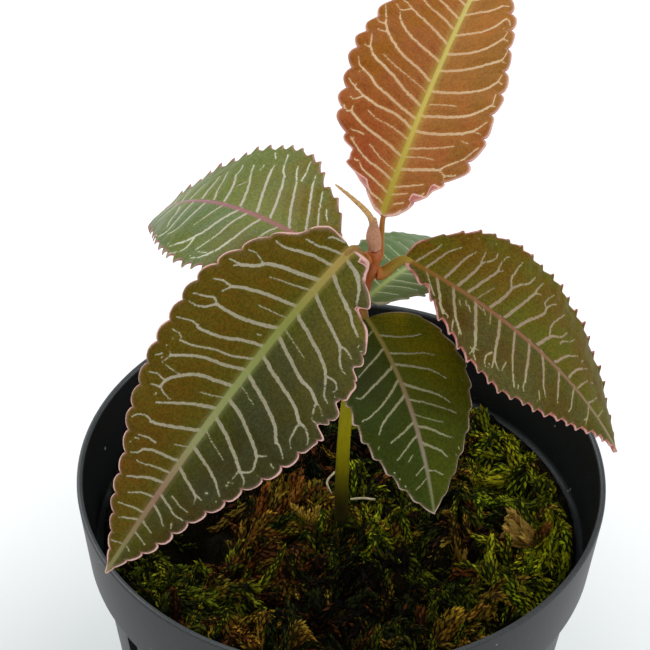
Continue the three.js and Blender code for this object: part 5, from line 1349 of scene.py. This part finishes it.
# %% Finishes of the six leaves
# Left, right and rib run from base to tip, and clouds and streaks are for the left and the right half. Glow
# is how far the midrib shines into the blade, in mm. A flap is (half, along, reach along, depth, lean), in
# mm: the margin rolled up, with its pink under face out
FINISHES = {
    "leaf_top_young": dict(
        left=("#a2482c", "#945a16", "#9a5f12"), right=("#a05a32", "#a4692c", "#a86c26"), near_rib="#a87034",
        streaks=("#7e341c", "#8c4a20"), clouds=("#9c5a2c", "#8c6424"), margin="#d6ada0", notch="#a8584a",
        vein="#c6a37c", vein_end="#d0b58e", under="#a8625a", rib=("#a08f34", "#bdab50", "#bdb25c", "#c6b66e"),
        rib_width=(0.85, 0.8, 0.75), drift=-0.45, glow=1.3, mottle=0.32,
        flaps=((1, 4.0, 1.4, 0.85, 0.5), (-1, 3.2, 1.05, 1.6, 0.6), (-1, 4.9, 0.9, 1.5, 0.7)),
        tooth="#d6ada0", stalk="#a0682c", halo=0.42, gloss=0.08, roughness=0.46),
    "leaf_front_left": dict(
        left=("#685f22", "#3a3918", "#48360c"), right=("#5e4c08", "#5a480a", "#624212"), near_rib="#4e5412",
        streaks=("#45431c", "#70420c"), clouds=("#41442a", "#5c5010"), margin="#d4aaa0", notch="#a8706a",
        vein="#9b937b", vein_end="#a59e88", under="#9a6258",
        rib=("#9c8748", "#7f8340", "#848a50", "#8a8d5c", "#8a6c58", "#7e784c"), rib_width=(1.0, 0.9, 0.45),
        drift=0.15, glow=0.8, mottle=0.42, flaps=((1, 1.5, 0.9, 0.7, 0), (1, 6.2, 0.8, 0.6, 0)),
        tooth="#d4aaa0", stalk="#8a6a30", halo=0.2, gloss=0.07, roughness=0.4),
    # On this leaf the grey-green towards the tip and the bluish clouds are partly painted sheen, a painted
    # reflection of the white sweep, besides the leaf's own olive
    "leaf_back_left": dict(
        left=("#76621c", "#68742e", "#87967c"), right=("#7a5c12", "#707c32", "#808e6e"), near_rib="#7c8a38",
        streaks=("#66743c", "#7a6a2c"), clouds=("#6a8058", "#6c7c3c"), margin="#b08c80", notch="#96605a",
        vein="#bcb2a2", vein_end="#cacbb6", under="#8f8c70", rib=("#9a6a5c", "#9a6468", "#a06e78", "#a88088"),
        rib_width=(0.6, 0.5, 0.35), drift=0.4, glow=0.5, mottle=0.45, flaps=(), tooth="#a4645c",
        stalk="#96643a", halo=0.25, gloss=0.16, roughness=0.4),
    "leaf_right": dict(
        left=("#6e5004", "#6b5508", "#5c4802"), right=("#4e3210", "#5a4a12", "#52440c"), near_rib="#5c5e10",
        streaks=("#74580c", "#5a4a1c"), clouds=("#5a640e", "#54582c"), margin="#c49088", notch="#a8645a",
        vein="#9c8870", vein_end="#a89e7e", under="#8f5448",
        rib=("#80581e", "#855a3c", "#8a5f48", "#86684e", "#8c8060"), rib_width=(0.5, 0.5, 0.4),
        drift=-0.6, glow=0.35, mottle=0.5, flaps=((-1, 4.4, 1.2, 0.8, 0.4),),
        tooth="#7c2a22", stalk="#8c761c", halo=0.15, gloss=0.07, roughness=0.42),
    "leaf_front_small": dict(
        left=("#74680a", "#46460a", "#38410a"), right=("#2e2e08", "#303708", "#333d0a"), near_rib="#3c460c",
        streaks=("#4c4a08", "#2e3408"), clouds=("#46500c", "#33440e"), margin="#ae9686", notch="#7a6a50",
        vein="#8e8a6a", vein_end="#98987c", under="#6f6a4a",
        rib=("#7e7232", "#7c6c40", "#84705a", "#847864", "#6c7048"), rib_width=(0.5, 0.55, 0.3),
        drift=-0.1, glow=0.3, mottle=0.4, flaps=(), tooth="#b89888",
        stalk="#7c6c1c", halo=0.12, gloss=0.07, roughness=0.42),
    "leaf_back": dict(
        left=("#5c7038", "#5a7540", "#5e784a"), right=("#525f1c", "#586634", "#5a6a3a"), near_rib="#627a40",
        streaks=("#567240", "#4f6a3c"), clouds=("#667a4a", "#607236"), margin="#9a967a", notch="#7a7a5a",
        vein="#a5ad86", vein_end="#a9b492", under="#7d8f6a", rib=("#94a456", "#94a464", "#94a868", "#9cb478"),
        rib_width=(0.6, 0.6, 0.4), drift=0.0, glow=0.8, mottle=0.3, flaps=(), tooth="#8a8a6a",
        stalk="#8a9a4a", halo=0.15, gloss=0.2, roughness=0.42),
}
print("finishes:", ", ".join(FINISHES))

# %% Colours along a leaf
RAMP_START, RAMP_END = 0.06, 0.94


def along_leaf(tree, share, colours):
    """A colour that runs through the given ones from the base of the leaf to its tip."""
    colour = add(tree, "ValToRGB", [share])
    elements = colour.node.color_ramp.elements
    places = np.linspace(RAMP_START, RAMP_END, len(colours))
    elements[0].position, elements[1].position = places[0], places[-1]
    elements[0].color, elements[1].color = linear(colours[0]), linear(colours[-1])
    for at, middle_colour in zip(places[1:-1], colours[1:-1]):
        elements.new(at).color = linear(middle_colour)
    return colour


print("colours run from", RAMP_START, "to", RAMP_END, "of a leaf's length")

# %% Satin leaf skin with veins
STORED = ("vein", "rib", "rim", "out", "notch", "flap", "point")


def leaf_material(name, finish, underside):
    """The skin of one face of a leaf, laid up from the tissue to the veins, the midrib and the margin."""
    material, tree, surface = new_material(name, finish["roughness"], ior=1.42, specular=finish["gloss"])
    stored = {key: add(tree, "Attribute", output="Fac", attribute_name=key, attribute_type="GEOMETRY")
              for key in ("share", *STORED)}
    flat, grain = (add(tree, "Attribute", output="Vector", attribute_name=key, attribute_type="GEOMETRY")
                   for key in ("flat", "grain"))
    # Flat and grain are in mm, so a noise is scaled by one over its size in mm
    cloud, cells, ragged = (add(tree, "TexNoise", (flat, 1 / size, detail))
                            for size, detail in ((5, 3), (0.3, 4), (0.22, 2)))
    streaks = add(tree, "TexNoise", (grain, 1 / 0.3, 3))
    left_of_fold = add(tree, "SeparateXYZ", [flat], output="Y")
    from_fold = add(tree, "Math", [left_of_fold], operation="ABSOLUTE")
    left, right = (along_leaf(tree, stored["share"], finish[half]) for half in ("left", "right"))
    blade, clouds, streak_tone = (
        layer(tree, on_right, on_left, left_of_fold, (-0.6, 0.6), **SOFT)
        for on_left, on_right in ((left, right), finish["clouds"], finish["streaks"]))
    blade = layer(tree, blade, finish["near_rib"], from_fold, (0.3, 5), (0.6, 0), **SOFT)
    blade = layer(tree, blade, clouds, cloud, (0.38, 0.66), (0, 0.6), **SOFT)
    blade = layer(tree, blade, streak_tone, streaks, (0.46, 0.72), (0, 0.5), **SOFT)
    tones = layer(tree, "#6b6b6b", "#ffffff", cells, (0.32, 0.68), **SOFT)
    blade = add(tree, "Mix", (finish["mottle"], blade, tones), blend_type="MULTIPLY", **COLOUR)
    if underside:
        blade = add(tree, "Mix", (0.6, blade, finish["under"]), **COLOUR)

    edge_noise = add(tree, "MapRange", (ragged, 0.3, 0.7, -0.035, 0.035), **SOFT)
    vein_gap, rib_gap, flap, rim_gap = (
        add(tree, "Math", (stored[key], edge_noise)) for key in ("vein", "rib", "flap", "rim"))
    vein = add(tree, "MapRange", (vein_gap, -0.05, 0.06, 1, 0), **SOFT)
    blade = layer(tree, blade, finish["near_rib"], vein_gap, (0, 0.45), (0.2, 0), **SOFT)
    vein_colour = layer(tree, finish["vein"], finish["vein_end"], stored["out"], (0.3, 0.8), **SOFT)
    worn = add(tree, "MapRange", (cells, 0.3, 0.6, 0.72, 0.95), **SOFT)
    strength = add(tree, "Math", (worn, 0.7 if underside else 1), operation="MULTIPLY")
    strength = add(tree, "Math", (vein, strength), operation="MULTIPLY")
    blade = add(tree, "Mix", (strength, blade, vein_colour), **COLOUR)

    rib = along_leaf(tree, stored["share"], finish["rib"])
    glow = add(tree, "MapRange", (rib_gap, 0, finish["glow"], 0.4, 0), **SOFT)
    fading = add(tree, "MapRange", (stored["share"], 0, 1, 1, 0.4), **SOFT)
    glow = add(tree, "Math", (glow, fading), operation="MULTIPLY")
    blade = add(tree, "Mix", (glow, blade, rib), **COLOUR)
    blade = layer(tree, blade, rib, rib_gap, (-0.12, 0.14), (0.92, 0), **SOFT)

    blade = layer(tree, blade, finish["margin"], flap, (0, 0.05), (0, 0.9), **SOFT)
    blade = layer(tree, blade, finish["under"], flap, (0.14, 0.3), (0, 0.95), **SOFT)
    blade = layer(tree, blade, finish["margin"], stored["rim"], (0, 0.6), (finish["halo"], 0), **SOFT)
    line = layer(tree, finish["margin"], finish["notch"], stored["notch"], (0.35, 0.9), **SOFT)
    line = layer(tree, line, finish["tooth"], stored["point"], (0.3, 0.6), **SOFT)
    wandering = add(tree, "MapRange", (cloud, 0.35, 0.65, -0.12, 0.03), **SOFT)
    widening = add(tree, "Math", (stored["point"], -0.25), operation="MULTIPLY")
    rim_gap = add(tree, "Math", (add(tree, "Math", (rim_gap, wandering)), widening))
    blade = layer(tree, blade, line, rim_gap, (0.06, 0.18), (0.95, 0), **SOFT)

    smoothest = finish["roughness"] - 0.06 + (0.15 if underside else 0.0)
    roughest = finish["roughness"] + 0.1 + (0.15 if underside else 0.0)
    rough = add(tree, "MapRange", (cells, 0.3, 0.7, smoothest, roughest), **SOFT)
    tree.links.new(rough, surface.inputs["Roughness"])
    cells, veins, streaks = (add(tree, "Math", (value, share), operation="MULTIPLY")
                             for value, share in ((cells, 0.5), (vein, 0.6), (streaks, 0.3)))
    relief = add(tree, "Math", (add(tree, "Math", (cells, veins)), streaks))
    cover(tree, surface, blade, relief, 0.5, 0.08)
    return material


print("a leaf skin is made from", len(FINISHES["leaf_right"]), "values")

# %% [markdown]
# The leaf stalk takes its colour from the stem at one end and from the midrib at the other. Its share runs
# from -1 at the stem to 0 inside the blade.

# %% Stalk skin
def stalk_material(name, finish):
    material, tree, surface = new_material(name, 0.48, specular=0.3)
    share = add(tree, "Attribute", output="Fac", attribute_name="share", attribute_type="GEOMETRY")
    place = add(tree, "TexCoord", output="Object")
    mottle = add(tree, "TexNoise", (place, 1 / (0.5 * MM), 3))
    colour = layer(tree, "#a45c26", finish["stalk"], share, (-1, -0.7))
    colour = layer(tree, colour, "#8a4a26", mottle, (0.5, 0.7), (0, 0.3))
    cover(tree, surface, colour, mottle, 0.4, 0.08)
    return material


print("each leaf has an upper skin, an under skin and a stalk skin")

# %% [markdown]
# ## Building a leaf
# Each row across the leaf is one closed ring of points: over the upper face from one margin to the other,
# and back along the under face, 0.4 mm thick at the midrib and about half that at the rounded edge. Rings
# about every 0.17 mm make the blade. The blade swells a tenth of a millimetre between veins, the midrib
# stands out below as a keel, and the scallops turn up at their notches.

# %% Rings across the blade
BLADE_THICKNESS, THINNING, RIM_ROUNDING = 0.4, 0.45, 0.13
GRID_STEP, UNDER_STEP, MAIN_REACH = 0.17, 0.55, 2.5
# Millimetres that each feature stands out of the blade
SWELL, RIB_LIFT, KEEL, NOTCH_LIFT, FLAP_LIFT = 0.1, 0.1, 0.75, 0.35, 0.6


def ring_columns(leaf):
    """Half, share of the way out to the rim, turn round the rim and face of each point of a ring."""
    upper, under = (np.linspace(0, 1, int(leaf["half"] / step) + 1) for step in (GRID_STEP, UNDER_STEP))
    ring = [(1, 1, turn, 1) for turn in (90, 60, 30)]
    ring += [(1, f, 0, 1) for f in upper[::-1]] + [(-1, f, 0, 1) for f in upper[1:]]
    ring += [(-1, 1, turn, 1) for turn in (30, 60, 90)] + [(-1, 1, turn, -1) for turn in (60, 30)]
    ring += [(-1, f, 0, -1) for f in under[::-1]] + [(1, f, 0, -1) for f in under[1:]]
    ring += [(1, 1, turn, -1) for turn in (30, 60)]
    return (np.array(column, dtype=float) for column in zip(*ring))


def leaf_slopes(veins):
    """Where the main veins start, and how far they lean towards the tip for each mm out."""
    mains = [v for v in veins if v[2] < BESIDE_MIDRIB and v[-1] > MAIN_REACH]
    return [v[1] for v in mains], [(v[-2] - v[1]) / (v[-1] - v[2]) for v in mains]


print("points round the largest leaf:", len(next(ring_columns(LEAVES["leaf_front_left"]))))

# %% Points and stored values of a blade
def build_blade(name, leaf, finish):
    rows_per_tooth = max(6, int(round(leaf["length"] / leaf["teeth"] / GRID_STEP)))
    counts = np.arange(leaf["teeth"] * rows_per_tooth + 1) / rows_per_tooth
    u = np.clip(share_at_count(leaf, counts), 0.004, 0.9995)
    x = u * leaf["length"]
    side, fraction, turn, face = ring_columns(leaf)
    shape = (len(u), len(side))
    tooth = tooth_shape(leaf, counts % 1)
    cut = margin_fade(u) * leaf["tooth_depth"] * (tooth - 0.6)
    spikes = margin_fade(u) * tooth_point(counts % 1)
    towards_tip = np.clip((u - 0.3) / 0.3, 0, 1)
    rib_half = np.interp(u, (0, 0.6, 1), finish["rib_width"])[:, None] / 2
    drift = (finish["drift"] * np.sin(math.pi * u))[:, None]
    values = {key: np.zeros(shape) for key in STORED}
    points, flat, grain = (np.zeros(shape + (3,)) for _ in range(3))
    U = np.broadcast_to(u[:, None], shape)
    for half in (1, -1):
        columns = np.nonzero(side == half)[0]
        width = half_width(leaf, half, u)
        near_base, near_tip, upright = SERRATION.get((name, half), PLAIN_TEETH)
        edge = np.maximum(width + cut + spikes * (near_base + (near_tip - near_base) * towards_tip), 0.12)
        bead = np.minimum(RIM_ROUNDING, edge * 0.5)
        out = (edge - bead)[:, None] * fraction[columns] + bead[:, None] * np.sin(np.radians(turn[columns]))
        X = np.broadcast_to(x[:, None], out.shape)
        strokes = vein_strokes(leaf, half, VEINS[name][half], random.Random(f"{name} {half}"))
        gap = distance_to_strokes(X.ravel(), out.ravel(), strokes).reshape(out.shape)
        steepness = np.minimum(np.abs(np.gradient(edge) / np.maximum(np.gradient(x), 0.001)), 1.3)
        from_rim = (edge[:, None] - out) / np.sqrt(1 + steepness ** 2)[:, None]
        from_rib = half * out - drift
        flap = np.full(out.shape, -1.0)
        for where, place, reach, depth, lean in finish["flaps"]:
            if where == half:
                rolled = 1 - np.abs(X - place - lean * from_rim) / reach - from_rim / depth
                flap = np.maximum(flap, rolled)
        point = spikes[:, None] * np.clip(1 - from_rim / 0.6, 0, 1)
        swell = SWELL * np.clip(gap, 0, 1) * np.clip(from_rim, 0, 1) * (1 - np.exp(-(out / 0.9) ** 2))
        notch = leaf["tooth_depth"] * margin_fade(u)[:, None] * (0.55 - tooth)[:, None]
        notch = NOTCH_LIFT * notch * np.clip(1 - from_rim / 1.6, 0, 1) ** 2
        keel = KEEL * (1 - 0.8 * U[:, columns]) * np.exp(-(out / 0.55) ** 2)
        rib_lift = RIB_LIFT * np.exp(-(from_rib / rib_half) ** 2)
        share_out = out / width[:, None]
        thinned = BLADE_THICKNESS / 2 * (1 - THINNING * np.clip(share_out, 0, 1) ** 2)
        thick = thinned * np.cos(np.radians(turn[columns]))
        lift = np.where(face[columns] > 0, thick + rib_lift, -thick - keel)
        lift = lift + swell + notch + FLAP_LIFT * np.clip(flap, 0, 1)
        lift = lift + upright * towards_tip[:, None] * point
        points[:, columns] = blade_surface(leaf, half, U[:, columns], out, lift)
        at_notch = (1 - tooth[:, None]) * np.clip(1 - from_rim, 0, 1)
        halves = {"vein": gap, "rib": np.abs(from_rib) - rib_half, "rim": from_rim, "out": share_out,
                  "flap": flap, "point": point * (upright > 0), "notch": at_notch}
        for key, value in halves.items():
            values[key][:, columns] = value
        flat[:, columns] = np.stack([X, half * out, np.full(out.shape, 7.0 * half)], -1)
        phase = X - np.interp(x, *leaf_slopes(VEINS[name][half]))[:, None] * out
        grain[:, columns] = np.stack([phase, out * 0.12, np.full(out.shape, 3.0 * half)], -1)
    return points, values, flat, grain, U, face


print("a blade stores", ", ".join(STORED))

# %% Lay out the faces for textures
# Both faces of a blade and the strip of its stalk, as shares of the layout
UPPER_AT, UNDER_AT, BLADE_FOOT, BLADE_LAID = 0.03, 0.53, 0.03, (0.44, 0.85)
STALK_AT, STALK_LAID = (0.03, 0.92), (0.94, 0.05)


def lay_out_faces(piece, U, across, is_under, stalk_at):
    """A texture layout: upper face on one half, under face on the other, the stalk in a strip above."""
    corners = np.zeros(len(piece.data.loops), dtype=np.int32)
    piece.data.loops.foreach_get("vertex_index", corners)
    sizes = np.array([len(polygon.vertices) for polygon in piece.data.polygons])
    under = np.repeat(is_under, sizes)
    stalk = corners >= U.size
    blade_corner = np.minimum(corners, U.size - 1)
    s = np.where(under, UNDER_AT, UPPER_AT) + BLADE_LAID[0] * across.ravel()[blade_corner]
    t = BLADE_FOOT + BLADE_LAID[1] * U.ravel()[blade_corner]
    on_stalk = stalk_at[np.clip(corners - U.size, 0, len(stalk_at) - 1)]
    layout = np.where(stalk[:, None], STALK_AT + on_stalk * STALK_LAID, np.column_stack([s, t]))
    piece.data.uv_layers.new(name="OFBake").data.foreach_set("uv", layout.astype(np.float32).ravel())


print("each face of a blade takes", BLADE_LAID, "of the layout")

# %% Build the stalk
STALK_ROWS, STALK_SIDES = 40, 16
# Places along the midrib that the stalk runs under, and how deep it lies there, in mm
UNDER_MIDRIB = ((0.0, 0.3), (0.05, 0.45), (0.12, 0.5))


def build_stalk(leaf, first):
    """A short rod from the stem into the back of the blade, under the midrib."""
    stem_at = stem_course[np.argmin(np.abs(stem_course[:, 2] - leaf["node"]))]
    base = np.array(leaf["base"], dtype=float)
    outwards = (base - stem_at) * (1, 1, 0)
    outwards /= np.linalg.norm(outwards)
    seat = stem_at + outwards * (float(stem_radius(np.array(leaf["node"]))) - 0.1)
    below = [midrib_point(leaf, u) - leaf_axes(leaf, np.array(u))[2] * depth for u, depth in UNDER_MIDRIB]
    share = np.linspace(0, 1, STALK_ROWS)
    course = smooth_course([seat, seat + outwards * 0.9, *below], STALK_ROWS)
    radii = leaf["petiole"] * (1 - 0.5 * share) * (1 + 0.25 * np.exp(-(share / 0.12) ** 2))
    points, faces = rod(course, radii, STALK_SIDES, first)
    around = np.tile(np.abs(np.linspace(-1, 1, STALK_SIDES, endpoint=False)), STALK_ROWS)
    return points, faces, np.column_stack([np.repeat(share, STALK_SIDES), around])


print("a stalk has", len(build_stalk(LEAVES["leaf_right"], 0)[0]), "points")


# %% Build each leaf and hand it to the frame
def build_leaf(name, leaf):
    finish = FINISHES[name]
    points, values, flat, grain, U, face = build_blade(name, leaf, finish)
    rows, columns = U.shape
    index = np.arange(rows * columns).reshape(rows, columns)
    following = np.roll(index, -1, axis=1)
    quads = np.stack([index[:-1], following[:-1], following[1:], index[1:]], -1).reshape(-1, 4)
    is_under = np.broadcast_to((face < 0) | (np.roll(face, -1) < 0), (rows - 1, columns)).ravel()
    stalk_points, stalk_faces, stalk_at = build_stalk(leaf, rows * columns)
    faces = quads.tolist() + [index[0][::-1].tolist(), index[-1].tolist()] + stalk_faces
    face_materials = np.concatenate([is_under.astype(int), [0, 0], np.full(len(stalk_faces), 2)])

    materials = [leaf_material(f"{name}_upper_skin", finish, False),
                 leaf_material(f"{name}_under_skin", finish, True),
                 stalk_material(f"{name}_stalk_skin", finish)]
    piece = make_piece(f"{name}_veined", np.vstack([points.reshape(-1, 3), stalk_points]), faces, materials,
                       name, face_materials)
    for key, value in values.items():
        set_values(piece, key, np.concatenate([value.ravel(), np.ones(len(stalk_points))]))
    set_values(piece, "share", np.concatenate([U.ravel(), stalk_at[:, 0] - 1]))
    for key, value in (("flat", flat), ("grain", grain)):
        set_values(piece, key, np.vstack([value.reshape(-1, 3), np.zeros((len(stalk_points), 3))]))
    across = 0.5 + 0.45 * flat[..., 1] / np.abs(flat[..., 1]).max()
    lay_out_faces(piece, U, across, face_materials == 1, stalk_at)
    return piece


for name, leaf in LEAVES.items():
    piece = build_leaf(name, leaf)
    print(piece.name, "has", len(piece.data.polygons), "faces")
